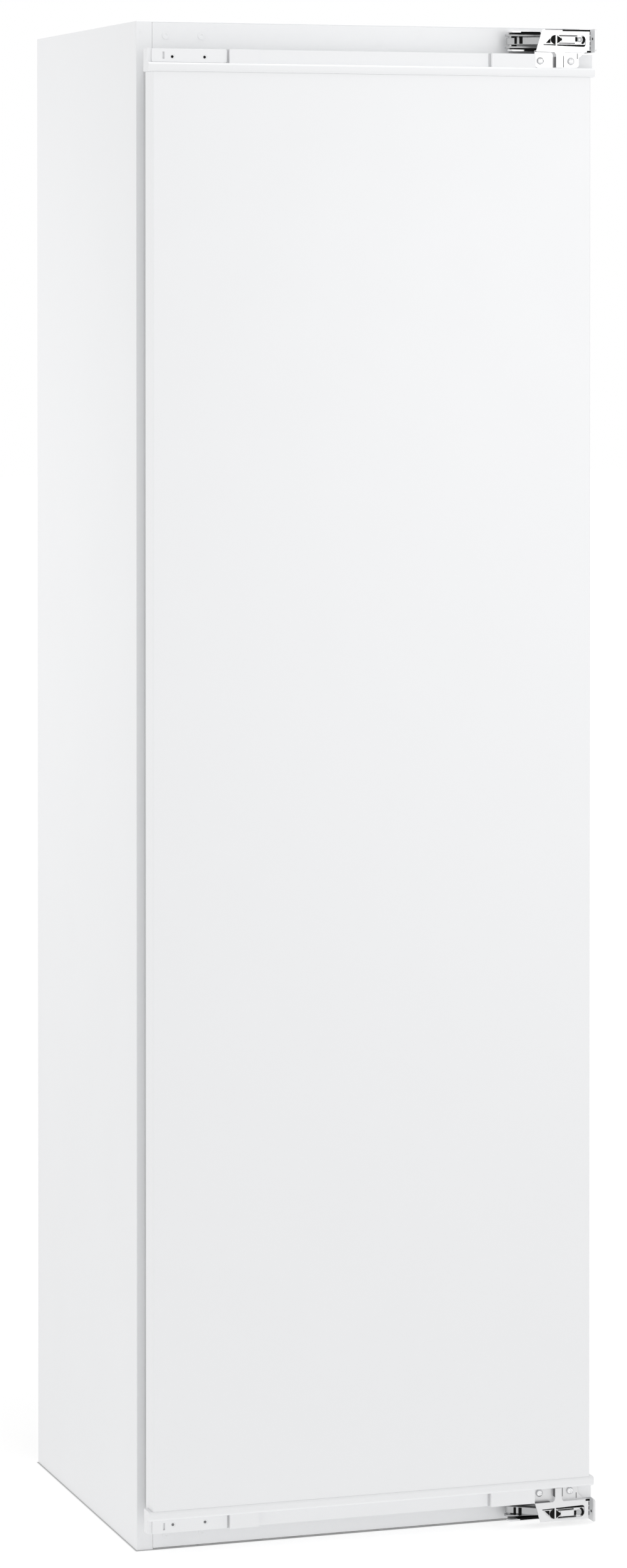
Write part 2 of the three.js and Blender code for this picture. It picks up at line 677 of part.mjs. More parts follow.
/** The insulation between the skins, with room for the evaporator, the pipes and the machine niche. */
function cabinetFoam() {
  const inner = WRAPPER_INNER - GAP;
  const front = LINER_WALL + GAP;
  const body = block(both(inner), [front, REAR_FACE - SHEET - GAP], [BASE_SHEET + GAP, RAIL_TOP]);
  const hollow = prism(cavityOutline(LINER_WALL + GAP, 0), 'x', both(CAVITY_HALF + LINER_WALL + GAP));
  const niche = block(
    both(NICHE_HALF_WIDTH + NICHE_SHEET + GAP),
    [NICHE_START - NICHE_SHEET - GAP, CABINET_DEPTH],
    [0, NICHE_TOP + NICHE_SHEET + GAP],
  );
  const lipFront = REAR_FACE - BASE_SHEET - 2 * GAP;
  const baseLip = block(both(inner + GAP), [lipFront, CABINET_DEPTH], [0, BASE_LIP_HEIGHT + 2 * GAP]);
  const platePocket = block(
    both(EVAPORATOR_HALF_WIDTH + GAP),
    [CAVITY_DEPTH, EVAPORATOR_Y + EVAPORATOR_THICKNESS + GAP],
    [EVAPORATOR_BOTTOM - GAP, EVAPORATOR_BOTTOM + EVAPORATOR_HEIGHT + GAP],
  );
  const pipeChannel = block(
    [SUCTION_X - SUCTION_RADIUS - GAP, SUCTION_X + SUCTION_RADIUS + GAP],
    [CAVITY_DEPTH, STUB_Y + SUCTION_RADIUS + GAP],
    [NICHE_TOP, EVAPORATOR_BOTTOM + SUCTION_LAP + GAP],
  );
  const drain = rod('z', [DRAIN_X, DRAIN_Y], DRAIN_RADIUS + GAP, [NICHE_TOP, STEP_TOP], 12);
  return cut(body, hollow, niche, baseLip, platePocket, pipeChannel, drain);
}

/** The rear skin: the upright sheet and the folded cover over the machine niche. */
function rearPanel() {
  const upright = block(both(WRAPPER_INNER - GAP), [REAR_FACE - SHEET, REAR_FACE], [NICHE_TOP, RAIL_TOP]);
  const cover = block(
    both(NICHE_HALF_WIDTH + NICHE_SHEET),
    [NICHE_START - NICHE_SHEET, REAR_FACE],
    [BASE_SHEET + GAP, NICHE_TOP + NICHE_SHEET],
  );
  const niche = block(both(NICHE_HALF_WIDTH), [NICHE_START, REAR_FACE + SHEET], [0, NICHE_TOP]);
  const lipY = [REAR_FACE - BASE_SHEET - GAP, CABINET_DEPTH + SHEET];
  const baseLip = block(both(WRAPPER_INNER), lipY, [0, BASE_LIP_HEIGHT + GAP]);
  const through = [NICHE_TOP - SHEET, NICHE_TOP + 2 * SHEET];
  const pipeHole = rod('z', [SUCTION_X, STUB_Y], SUCTION_RADIUS + GAP, through, 12);
  const drainHole = rod('z', [DRAIN_X, DRAIN_Y], DRAIN_RADIUS + GAP, through, 12);
  return cut(join(upright, cover), niche, baseLip, pipeHole, drainHole);
}

/** The flat sheet that the cabinet stands on, with a stiffening lip at the rear. */
function basePan() {
  const inner = WRAPPER_INNER - GAP;
  const sheet = block(both(inner), [SHEET + GAP, CABINET_DEPTH], [0, BASE_SHEET]);
  const lip = block(both(inner), [CABINET_DEPTH - BASE_SHEET, CABINET_DEPTH], [0, BASE_LIP_HEIGHT]);
  return join(sheet, lip);
}

/** The top front rail between the flanges, with its plug holes. The bottom rail is its mirror image. */
function topRail() {
  const face = block(both(RAIL_HALF), [0, RAIL_SHEET], [TOP_RAIL_BOTTOM, CABINET_HEIGHT - RAIL_FLOOR]);
  const holes = PLUG_HOLE_PLACES.map((x) =>
    rod('y', [fromLeft(x), fromTop(PLUG_HOLE_DROP)], PLUG_HOLE_RADIUS, [-RAIL_SHEET, 2 * RAIL_SHEET], 12),
  );
  return cut(face, ...holes);
}

// Inside the cabinet

/** A glass shelf with its over-moulded front and rear trim. */
function shelf(z) {
  const half = CAVITY_HALF - SHELF_SIDE_CLEARANCE;
  const pane = block(both(half), [SHELF_FRONT + TRIM_EDGE, SHELF_REAR - TRIM_EDGE], [z, z + PANE_THICKNESS]);
  const middle = z + PANE_THICKNESS / 2;
  const trimZ = [middle - TRIM_HEIGHT / 2, middle + TRIM_HEIGHT / 2];
  const radii = [TRIM_ROUND, TRIM_EDGE, TRIM_EDGE, TRIM_ROUND];
  const front = roundedBox([SHELF_FRONT, SHELF_FRONT + TRIM_DEPTH], trimZ, radii);
  const rearZ = [z - UPSTAND_DROP, z + PANE_THICKNESS + UPSTAND_RISE];
  const rear = roundedBox([SHELF_REAR - TRIM_DEPTH / 2, SHELF_REAR], rearZ, alike(TRIM_EDGE));
  return join(pane, prism(front, 'x', both(half)), prism(rear, 'x', both(half), 1));
}

/** A crisper drawer: tub, face with a grip notch, and side rims that run on the liner's ribs. */
function drawer(front, rear, bottom, top) {
  const radii = [DRAWER_FRONT_ROUND, DRAWER_FRONT_ROUND, DRAWER_REAR_ROUND, DRAWER_REAR_ROUND];
  const box = tub(both(DRAWER_HALF_WIDTH), [front, rear], [bottom, top], DRAWER_WALL, radii);
  const faceY = [front, front + DRAWER_FACE_THICKNESS];
  const face = block(both(DRAWER_FACE_HALF_WIDTH), faceY, [bottom - DRAWER_FACE_DROP, top + DRAWER_FACE_RISE]);
  const rimHalf = CAVITY_HALF - DRAWER_SIDE_CLEARANCE;
  const rimZ = [rimBottom(top), rimBottom(top) + DRAWER_RIM_HEIGHT];
  const rimY = [front + DRAWER_RIM_INSET, rear - DRAWER_RIM_END_GAP];
  const right = block([DRAWER_HALF_WIDTH - DRAWER_WALL / 2, rimHalf], rimY, rimZ);
  const left = block([-rimHalf, DRAWER_WALL / 2 - DRAWER_HALF_WIDTH], rimY, rimZ);
  const grip = block(both(GRIP_HALF_WIDTH), [front - 1, front + DRAWER_WALL + 2], [top - GRIP_DEPTH, top + 2]);
  return cut(join(box, face, right, left), grip);
}

const housingBottom = CAVITY_CEILING - GAP - HOUSING_HEIGHT;
const knobZ = housingBottom + HOUSING_HEIGHT / 2;

/** The ceiling housing for the thermostat and the light, open towards the ceiling. */
function controlHousing() {
  const y = [HOUSING_FRONT, HOUSING_FRONT + HOUSING_DEPTH];
  const housingZ = [housingBottom, CAVITY_CEILING - GAP];
  const outline = roundedBox(y, housingZ, [HOUSING_ROUND, HOUSING_REAR_ROUND, 0, 0]);
  const outer = prism(outline, 'x', both(HOUSING_HALF_WIDTH));
  const inner = block(
    both(HOUSING_HALF_WIDTH - HOUSING_WALL),
    [y[0] + KNOB_STUB_LENGTH + HOUSING_WALL, y[1] - HOUSING_WALL],
    [housingBottom + HOUSING_WALL, CAVITY_CEILING],
  );
  const bushY = [HOUSING_FRONT - 1, HOUSING_FRONT + KNOB_STUB_LENGTH + 1];
  const bush = rod('y', [KNOB_X, knobZ], KNOB_STUB_RADIUS + GAP, bushY, 12);
  return cut(outer, inner, bush);
}

/** The thermostat knob with its finger ridge and the stub that turns in the housing. */
function thermostatKnob() {
  const rear = HOUSING_FRONT - GAP;
  const front = rear - KNOB_LENGTH;
  const ridgeReach = KNOB_RADIUS - KNOB_RIDGE_INSET;
  const ridge = block(
    [KNOB_X - KNOB_RIDGE_HALF, KNOB_X + KNOB_RIDGE_HALF],
    [front - KNOB_RIDGE_LENGTH, rear - 1],
    [knobZ - ridgeReach, knobZ + ridgeReach],
  );
  return join(
    rod('y', [KNOB_X, knobZ], KNOB_RADIUS, [front + KNOB_RIDGE_LENGTH, rear], 24),
    ridge,
    rod('y', [KNOB_X, knobZ], KNOB_STUB_RADIUS, [rear - 1, rear + KNOB_STUB_LENGTH], 12),
  );
}

/** The diffuser under the lamp. */
function lampCover() {
  const y = [HOUSING_FRONT + LAMP_INSET, HOUSING_FRONT + LAMP_INSET + LAMP_DEPTH];
  const x = [LAMP_CENTRE_X - LAMP_HALF_WIDTH, LAMP_CENTRE_X + LAMP_HALF_WIDTH];
  const top = housingBottom - GAP;
  return prism(roundedBox(x, y, alike(LAMP_ROUND)), 'z', [top - LAMP_HEIGHT, top]);
}

const airRear = CAVITY_DEPTH - GAP;
const airFront = airRear - AIR_DEPTH;
const fanZ = AIR_BOTTOM + AIR_HEIGHT / 2;
const motorFront = airRear - MOTOR_LENGTH;

/** The cover over the air fan, with a round grille and two outlet slots. */
function airCover() {
  const z = [AIR_BOTTOM, AIR_BOTTOM + AIR_HEIGHT];
  const outer = prism(roundedBox(both(AIR_HALF_WIDTH), z, alike(AIR_ROUND)), 'y', [airFront, airRear]);
  const inner = block(both(AIR_HALF_WIDTH - AIR_WALL), [airFront + AIR_WALL, CAVITY_DEPTH + 1], [
    z[0] + AIR_WALL,
    z[1] - AIR_WALL,
  ]);
  const slots = [];
  const through = [airFront - 1, airFront + AIR_WALL + 1];
  for (let i = 0; i < GRILLE_COUNT; i += 1) {
    const offset = (i - (GRILLE_COUNT - 1) / 2) * GRILLE_PITCH;
    const half = Math.sqrt(GRILLE_RADIUS ** 2 - offset ** 2);
    slots.push(block(both(half), through, [fanZ + offset - GRILLE_SLOT / 2, fanZ + offset + GRILLE_SLOT / 2]));
  }
  const half = OUTLET_HEIGHT / 2;
  for (const middle of [z[0] + OUTLET_INSET, z[1] - OUTLET_INSET]) {
    slots.push(block(both(OUTLET_HALF_WIDTH), through, [middle - half, middle + half]));
  }
  return cut(outer, inner, ...slots);
}

/** The fan motor on the back wall, with its shaft. */
function fanMotor() {
  return join(
    rod('y', [0, fanZ], MOTOR_RADIUS, [motorFront, airRear], 20),
    rod('y', [0, fanZ], MOTOR_SHAFT_RADIUS, [motorFront - MOTOR_SHAFT_LENGTH, motorFront + 1], 10),
  );
}

/** The fan rotor: hub, bore for the shaft and pitched blades. */
function fanRotor() {
  const rear = motorFront - GAP;
  const y = [rear - FAN_LENGTH, rear];
  const blades = [];
  for (let i = 0; i < FAN_BLADES; i += 1) {
    const reach = FAN_RADIUS - FAN_HUB_RADIUS + 2;
    const geometry = new THREE.BoxGeometry(reach, FAN_BLADE_CHORD, FAN_BLADE_THICKNESS);
    geometry.rotateX(FAN_BLADE_PITCH).translate(FAN_RADIUS - reach / 2, 0, 0);
    geometry.rotateY((2 * Math.PI * i) / FAN_BLADES).translate(0, (y[0] + y[1]) / 2, fanZ);
    blades.push(solidOf(geometry));
  }
  const hub = rod('y', [0, fanZ], FAN_HUB_RADIUS, y, 20);
  const bore = rod('y', [0, fanZ], MOTOR_SHAFT_RADIUS + GAP, [rear - MOTOR_SHAFT_LENGTH - 1, rear + 1], 10);
  return cut(join(hub, ...blades), bore);
}

// Cooling circuit

// The compressor's shells, as shares of its radius and height
const LOWER_SHELL = [[0, 0], [0.79, 0], [0.96, 0.08], [1, 0.2]];
const UPPER_SHELL = [[0.97, 0.74], [0.79, 0.91], [0.53, 0.985], [0.41, 1], [0, 1]];

/** The hermetic compressor: two shells with a seam, foot plate and pipe stubs. */
function compressor() {
  const seam = COMPRESSOR_HEIGHT / 2;
  const shell = (shares) => shares.map(([across, up]) => [across * COMPRESSOR_RADIUS, up * COMPRESSOR_HEIGHT]);
  const profile = [
    ...shell(LOWER_SHELL),
    [COMPRESSOR_RADIUS, seam],
    [COMPRESSOR_RADIUS + COMPRESSOR_SEAM, seam],
    [COMPRESSOR_RADIUS + COMPRESSOR_SEAM, seam + COMPRESSOR_SEAM],
    [COMPRESSOR_RADIUS, seam + COMPRESSOR_SEAM],
    ...shell(UPPER_SHELL),
  ];
  const floor = COMPRESSOR_BOTTOM + FOOT_SHEET;
  const foot = roundedBox(
    [COMPRESSOR_X - FOOT_HALF_LENGTH, COMPRESSOR_X + FOOT_HALF_LENGTH],
    [COMPRESSOR_Y - FOOT_HALF_DEPTH, COMPRESSOR_Y + FOOT_HALF_DEPTH],
    alike(FOOT_ROUND),
  );
  const reach = COMPRESSOR_RADIUS + STUB_REACH;
  return join(
    turned(profile, [COMPRESSOR_X, COMPRESSOR_Y, floor - COMPRESSOR_SINK]),
    prism(foot, 'z', [COMPRESSOR_BOTTOM, floor]),
    rod('x', [STUB_Y, SUCTION_STUB_Z], STUB_RADIUS, [COMPRESSOR_X - reach, COMPRESSOR_X], 10),
    rod('x', [STUB_Y, DISCHARGE_STUB_Z], STUB_RADIUS, [COMPRESSOR_X, COMPRESSOR_X + reach], 10),
  );
}

/** A waisted rubber grommet under the compressor's foot. */
function grommet(sideX, sideY) {
  const waist = GROMMET_HEIGHT / 2;
  const profile = [
    [0, 0],
    [GROMMET_RADIUS, 0],
    [GROMMET_RADIUS, waist - GROMMET_WAIST - GROMMET_SLOPE],
    [GROMMET_NECK_RADIUS, waist - GROMMET_WAIST],
    [GROMMET_NECK_RADIUS, waist + GROMMET_WAIST],
    [GROMMET_RADIUS, waist + GROMMET_WAIST + GROMMET_SLOPE],
    [GROMMET_RADIUS, GROMMET_HEIGHT],
    [0, GROMMET_HEIGHT],
  ];
  const x = COMPRESSOR_X + sideX * GROMMET_REACH_X;
  const y = COMPRESSOR_Y + sideY * GROMMET_REACH_Y;
  return turned(profile, [x, y, BASE_SHEET + GAP], 12);
}

const relayX = COMPRESSOR_X + COMPRESSOR_RADIUS + COMPRESSOR_SEAM + GAP;

/** The starter box on the compressor, with the cable gland of the mains inlet. */
function relayBox() {
  const y = [COMPRESSOR_Y - RELAY_AHEAD, COMPRESSOR_Y - RELAY_AHEAD + RELAY_LENGTH];
  const radii = [RELAY_INNER_ROUND, RELAY_ROUND, RELAY_ROUND, RELAY_INNER_ROUND];
  const outline = roundedBox([relayX, relayX + RELAY_DEPTH], y, radii);
  const box = prism(outline, 'z', [RELAY_BOTTOM, RELAY_BOTTOM + RELAY_HEIGHT]);
  const centre = [relayX + GLAND_ACROSS, RELAY_BOTTOM + GLAND_RISE];
  const gland = rod('y', centre, GLAND_RADIUS, [y[1] - 1, y[1] + GLAND_LENGTH], 12);
  const dimple = [y[1] + GLAND_LENGTH - GLAND_DIMPLE, y[1] + GLAND_LENGTH + 1];
  return cut(join(box, gland), rod('y', centre, GLAND_BORE, dimple, 12));
}

/** The evaporation tray on top of the compressor. */
function dripTray() {
  const x = [COMPRESSOR_X - TRAY_HALF_SIZE, COMPRESSOR_X + TRAY_HALF_SIZE];
  const y = [COMPRESSOR_Y - TRAY_HALF_SIZE, COMPRESSOR_Y + TRAY_HALF_SIZE];
  return tub(x, y, [TRAY_BOTTOM, TRAY_BOTTOM + TRAY_HEIGHT], TRAY_WALL, alike(TRAY_ROUND));
}

/** The drain tube from the compartment's floor to the tray. */
function drainTube() {
  const z = [TRAY_BOTTOM + TRAY_HEIGHT / 2, STEP_TOP - LINER_WALL - GAP];
  return cut(
    rod('z', [DRAIN_X, DRAIN_Y], DRAIN_RADIUS, z, 12),
    rod('z', [DRAIN_X, DRAIN_Y], DRAIN_BORE, [z[0] - 1, z[1] + 1], 12),
  );
}

/** The evaporator plate between liner and insulation. */
function evaporator() {
  const z = [EVAPORATOR_BOTTOM, EVAPORATOR_BOTTOM + EVAPORATOR_HEIGHT];
  return block(both(EVAPORATOR_HALF_WIDTH), [EVAPORATOR_Y, EVAPORATOR_Y + EVAPORATOR_THICKNESS], z);
}

/** The suction pipe from the evaporator down to the compressor. */
function suctionPipe() {
  const end = COMPRESSOR_X - COMPRESSOR_RADIUS - STUB_REACH - GAP;
  const corners = [
    [SUCTION_X, STUB_Y, EVAPORATOR_BOTTOM + SUCTION_LAP],
    [SUCTION_X, STUB_Y, SUCTION_STUB_Z],
    [end, STUB_Y, SUCTION_STUB_Z],
  ];
  return pipe(corners, SUCTION_RADIUS, 10);
}

/** The hot gas pipe from the compressor up to the condenser. */
function dischargePipe() {
  const start = COMPRESSOR_X + COMPRESSOR_RADIUS + STUB_REACH + GAP;
  const corners = [
    [start, STUB_Y, DISCHARGE_STUB_Z],
    [RISER_X, STUB_Y, DISCHARGE_STUB_Z],
    [RISER_X, CONDENSER_Y, DISCHARGE_STUB_Z],
    [RISER_X, CONDENSER_Y, CONDENSER_TOP],
    [CONDENSER_HALF_WIDTH + GAP, CONDENSER_Y, CONDENSER_TOP],
  ];
  return pipe(corners, DISCHARGE_RADIUS, 12);
}

/** The condenser's serpentine tube, from the top right down to the drier. */
function condenserTube() {
  const corners = [];
  for (let i = 0; i < CONDENSER_RUNS; i += 1) {
    const z = CONDENSER_TOP - i * CONDENSER_PITCH;
    const side = i % 2 === 0 ? 1 : -1;
    corners.push([side * CONDENSER_HALF_WIDTH, CONDENSER_Y, z], [-side * CONDENSER_HALF_WIDTH, CONDENSER_Y, z]);
  }
  corners.pop();
  corners.push(
    [-RISER_X, CONDENSER_Y, CONDENSER_BOTTOM],
    [-RISER_X, CONDENSER_Y, DRIER_TOP + DRIER_CROSSING],
    [-RISER_X, DRIER_Y, DRIER_TOP + DRIER_LEAD_IN],
    [-RISER_X, DRIER_Y, DRIER_TOP + GAP],
  );
  return pipe(corners, CONDENSER_RADIUS, CONDENSER_BEND, 6);
}

/** The filter drier at the end of the condenser. */
function filterDrier() {
  const profile = [
    [0, 0],
    [DRIER_END_RADIUS, 0],
    [DRIER_NECK_RADIUS, DRIER_NECK],
    [DRIER_RADIUS, DRIER_SHOULDER],
    [DRIER_RADIUS, DRIER_LENGTH - DRIER_SHOULDER],
    [DRIER_NECK_RADIUS, DRIER_LENGTH - DRIER_CRIMP],
    [DRIER_END_RADIUS, DRIER_LENGTH],
    [0, DRIER_LENGTH],
  ];
  return turned(profile, [-RISER_X, DRIER_Y, DRIER_TOP - DRIER_LENGTH], 14);
}

/** The wire grid with its straps and the four posts that carry it and keep the wall away. */
function condenserGrid() {
  const wireY = [CONDENSER_Y - CONDENSER_RADIUS - GAP - WIRE_SIZE, CONDENSER_Y - CONDENSER_RADIUS - GAP];
  const strapY = [wireY[0] - SHEET, wireY[0] + WIRE_SIZE / 2];
  const z = [CONDENSER_BOTTOM - WIRE_OVERHANG, CONDENSER_TOP + WIRE_OVERHANG];
  const wireReach = CONDENSER_HALF_WIDTH - WIRE_SIDE_INSET;
  const parts = [];
  for (let i = 0; i < WIRE_COUNT; i += 1) {
    const x = THREE.MathUtils.lerp(-wireReach, wireReach, i / (WIRE_COUNT - 1));
    parts.push(block([x - WIRE_SIZE / 2, x + WIRE_SIZE / 2], wireY, z));
  }
  for (const middle of [z[0] + STRAP_HEIGHT, z[1] - STRAP_HEIGHT]) {
    const strapZ = [middle - STRAP_HEIGHT / 2, middle + STRAP_HEIGHT / 2];
    parts.push(block(both(POST_X), strapY, strapZ));
    for (const side of [-1, 1]) {
      const x = [side * POST_X - POST_SIZE / 2, side * POST_X + POST_SIZE / 2];
      const postZ = [middle - POST_SIZE, middle + POST_SIZE];
      parts.push(block(x, [REAR_FACE + GAP, REAR_FACE + POST_LENGTH], postZ));
    }
  }
  return join(...parts);
}

// Door

/** The steel door skin: front face and the returns at both sides. */
function doorSkin() {
  const y = [DOOR_FRONT, SKIN_REAR];
  const outer = roundedBox(both(DOOR_HALF), y, [SKIN_CORNER, SKIN_CORNER, 0, 0]);
  const innerRound = SKIN_CORNER - SKIN_SHEET;
  const innerY = [DOOR_FRONT + SKIN_SHEET, SKIN_REAR + 1];
  const inner = roundedBox(both(DOOR_HALF - SKIN_SHEET), innerY, [innerRound, innerRound, 0, 0]);
  return cut(prism(outer, 'z', [SKIN_BOTTOM + GAP, SKIN_TOP - GAP]), prism(inner, 'z', [0, CABINET_HEIGHT]));
}

/** The ring of dykes on the door's inner face, grown or shrunk all round. */
function dykeRing(grow, front) {
  const y = [front, DYKE_REACH + grow];
  const whole = block(both(DYKE_OUTER + grow), y, [DYKE_BOTTOM - grow, DYKE_TOP + grow]);
  const opening = block(both(DYKE_INNER - grow), [front - 1, DYKE_REACH + 1], [
    DYKE_BOTTOM + DYKE_END_WIDTH + grow,
    DYKE_TOP - DYKE_END_WIDTH - grow,
  ]);
  return cut(whole, opening);
}

/** The door's moulded inner lining with the dykes and the ledges for the bins. */
function doorLiner() {
  const inner = LINER_HALF - DOOR_LINER_WALL;
  const shellY = [DOOR_INNER_FACE - DOOR_LINER_RIM, DOOR_INNER_FACE];
  const shell = block(both(LINER_HALF), shellY, [LINER_BOTTOM, LINER_TOP]);
  const hollow = block(both(inner), [SKIN_REAR, DOOR_INNER_FACE - DOOR_LINER_WALL], [
    LINER_BOTTOM + DOOR_LINER_WALL,
    LINER_TOP - DOOR_LINER_WALL,
  ]);
  const ledges = [];
  for (const bottom of BIN_BOTTOMS) {
    for (const side of [-1, 1]) {
      const x = fromMiddle(side, [DYKE_INNER - LEDGE_WIDTH, DYKE_INNER + DOOR_LINER_WALL / 2]);
      ledges.push(block(x, [0, LEDGE_DEPTH], [bottom - GAP - LEDGE_HEIGHT, bottom - GAP]));
    }
  }
  const face = DOOR_INNER_FACE - DOOR_LINER_WALL;
  const whole = join(shell, dykeRing(0, face));
  return join(cut(whole, hollow, dykeRing(-DOOR_LINER_WALL, face - 1)), ...ledges);
}

/** The door's insulation behind the skin, the caps and the liner. */
function doorFoam() {
  const inset = DOOR_LINER_WALL + GAP;
  const y = [DOOR_FRONT + SKIN_SHEET + GAP, SKIN_REAR + GAP];
  const outline = roundedBox(both(DOOR_HALF - SKIN_SHEET - GAP), y, [SKIN_CORNER, SKIN_CORNER, 0, 0]);
  const front = prism(outline, 'z', [SKIN_BOTTOM + 2 * GAP, SKIN_TOP - 2 * GAP]);
  const rearFace = DOOR_INNER_FACE - inset;
  const rearZ = [LINER_BOTTOM + inset, LINER_TOP - inset];
  const rear = block(both(LINER_HALF - inset), [SKIN_REAR + GAP, rearFace], rearZ);
  return join(front, rear, dykeRing(-inset, rearFace - 1));
}

/** A rectangular ring in the gasket's path: its middle line is inset alike all round. */
function gasketRing(width, y) {
  const middle = GASKET_INSET + GASKET_WIDTH / 2;
  const half = HALF_WIDTH - middle;
  const low = LINER_BOTTOM + GASKET_WIDTH / 2;
  const high = LINER_TOP - GASKET_WIDTH / 2;
  return cut(
    block(both(half + width / 2), y, [low - width / 2, high + width / 2]),
    block(both(half - width / 2), [y[0] - 1, y[1] + 1], [low + width / 2, high - width / 2]),
  );
}

/** The magnetic door seal: foot, bellows and magnet strip. */
function doorGasket() {
  const foot = DOOR_INNER_FACE + GAP;
  return join(
    gasketRing(GASKET_WIDTH, [foot, foot + GASKET_BASE]),
    gasketRing(GASKET_NECK_WIDTH, [foot, -GAP]),
    gasketRing(GASKET_MAGNET_WIDTH, [-GASKET_MAGNET, -GAP]),
  );
}

/** The two holes of the fixing bracket's screws. */
function bracketHoles(y) {
  return BRACKET_HOLES.map((x) => {
    const centre = [fromLeft(x), fromTop(BRACKET_HOLE_DROP)];
    return rod('y', centre, BRACKET_HOLE_RADIUS, y, 12);
  });
}

/** The door's top end cap with its lip, its wider ends and its pockets, for screws at a given drop. */
function topCap(screwDrop) {
  const body = block(both(DOOR_HALF), [DOOR_FRONT, SKIN_REAR], [SKIN_TOP, DOOR_TOP]);
  const wide = both(DOOR_HALF + LIP_SIDE);
  const endsOutline = roundedBox(wide, [DOOR_FRONT, LIP_REAR], [CORNER_ROUND, CORNER_ROUND, 1, 1]);
  const ends = prism(endsOutline, 'z', [SKIN_TOP, DOOR_TOP]);
  const lipY = [DOOR_FRONT - LIP_FRONT, LIP_REAR];
  const lip = roundedBox(lipY, [SKIN_TOP, SKIN_TOP + LIP_HEIGHT], [LIP_ROUND, 1, 1, LIP_ROUND]);
  const pocketZ = [SKIN_TOP + LIP_HEIGHT, DOOR_TOP + 1];
  const front = DOOR_FRONT - 1;
  const floor = DOOR_FRONT + POCKET_DEPTH;
  const holes = bracketHoles([front, floor + BRACKET_HOLE_DEPTH]);
  const screwEnd = DOOR_FRONT + EAR_POCKET_DEPTH + SCREW_LENGTH;
  for (const x of SCREW_PLACES) {
    holes.push(rod('y', [fromRight(x), fromTop(screwDrop)], SCREW_SHANK_RADIUS + GAP, [front, screwEnd], 12));
  }
  const grooveX = [fromRight(STRIP_END) - GROOVE_WIDTH, fromRight(STRIP_END)];
  return cut(
    join(body, ends, prism(lip, 'x', wide)),
    block([-HALF_WIDTH, fromLeft(BRACKET_POCKET_END)], [front, floor], pocketZ),
    block([fromLeft(STRIP_START), fromRight(STRIP_END)], [front, floor], pocketZ),
    block(grooveX, [front, DOOR_FRONT + GROOVE_DEPTH], pocketZ),
    block([fromRight(EAR_POCKET_START) - GAP, HALF_WIDTH], [front, DOOR_FRONT + EAR_POCKET_DEPTH], pocketZ),
    ...holes,
  );
}

/** The bracket that carries the furniture door, in its pocket of the top cap. */
function topBracket() {
  const rear = DOOR_FRONT + POCKET_DEPTH - GAP;
  const bottom = SKIN_TOP + LIP_HEIGHT + GAP;
  const outline = roundedBox([fromLeft(BRACKET_START), fromLeft(BRACKET_START + BRACKET_LENGTH) - GAP], [
    bottom,
    bottom + BRACKET_HEIGHT,
  ], alike(BRACKET_ROUND));
  const through = [rear - BRACKET_SHEET - 1, rear + 1];
  const middle = bottom + BRACKET_HEIGHT / 2;
  const slotX = fromLeft(BRACKET_SLOT_X);
  return cut(
    prism(outline, 'y', [rear - BRACKET_SHEET, rear], 1),
    ...bracketHoles(through),
    block([slotX - BRACKET_SLOT_WIDTH / 2, slotX + BRACKET_SLOT_WIDTH / 2], through, [
      middle - BRACKET_SLOT_HEIGHT / 2,
      middle + BRACKET_SLOT_HEIGHT / 2,
    ]),
  );
}

const binHalf = DYKE_INNER - GAP;
const binDoorSide = DOOR_INNER_FACE + GAP;

/** A door bin between the dykes. */
function doorBin(bottom, height) {
  const radii = [BIN_DOOR_ROUND, BIN_DOOR_ROUND, BIN_ROUND, BIN_ROUND];
  return tub(both(binHalf), [binDoorSide, BIN_REAR], [bottom, bottom + height], BIN_WALL, radii);
}

const lidBottom = BIN_BOTTOMS.at(-1) + BIN_HEIGHTS.at(-1) + GAP;
const lidPivotZ = lidBottom + LID_PIVOT_RISE;

/** The top bin, with the ears that its lid turns in. */
function liddedBin() {
  const ears = [-1, 1].map((side) => {
    const x = fromMiddle(side, [binHalf - EAR_THICKNESS, binHalf]);
    const outline = new THREE.Shape();
    outline.moveTo(LID_PIVOT_Y - EAR_RADIUS, lidBottom - EAR_SINK);
    outline.lineTo(LID_PIVOT_Y + EAR_RADIUS, lidBottom - EAR_SINK);
    outline.absarc(LID_PIVOT_Y, lidPivotZ, EAR_RADIUS, 0, Math.PI, false);
    return prism(outline, 'x', x, 3);
  });
  const bore = rod('x', [LID_PIVOT_Y, lidPivotZ], LID_PIN_RADIUS + GAP, both(binHalf + 1), 12);
  const clearance = block(
    both(binHalf - EAR_THICKNESS),
    [binDoorSide + BIN_WALL, BIN_REAR + 1],
    [lidBottom - GAP, lidBottom + LID_CUT_HEIGHT],
  );
  return cut(join(doorBin(BIN_BOTTOMS.at(-1), BIN_HEIGHTS.at(-1)), ...ears), bore, clearance);
}

/** The clear lid of the top bin, with its hinge beam and pins. */
function binLid() {
  const half = binHalf - EAR_THICKNESS - GAP;
  const beam = [LID_PIVOT_Y - LID_PIN_RADIUS - 2, LID_PIVOT_Y + LID_PIN_RADIUS + 2];
  const pinX = half + LID_PIN_LENGTH - 2;
  return join(
    block(both(half), [LID_PIVOT_Y, BIN_REAR - 1], [lidBottom, lidBottom + LID_SHEET]),
    block(both(half), beam, [lidBottom, lidPivotZ + LID_PIN_RADIUS]),
    rod('x', [LID_PIVOT_Y, lidPivotZ], LID_PIN_RADIUS, both(Math.min(pinX, binHalf - 1)), 10),
  );
}

// Hinges

// A place in the hinge, from the cabinet's right side and the flange plane
const axisPoint = [HALF_WIDTH, DOOR_FRONT];
const basePivot = [axisPoint[0] + BASE_PIVOT[0], axisPoint[1] + BASE_PIVOT[1]];
const doorPivot = [axisPoint[0] + DOOR_PIVOT[0], axisPoint[1] + DOOR_PIVOT[1]];
const tipPivot = [basePivot[0] + DOOR_PIVOT[0], basePivot[1] + DOOR_PIVOT[1]];
const band = (half) => [HINGE_MIDDLE - half, HINGE_MIDDLE + half];

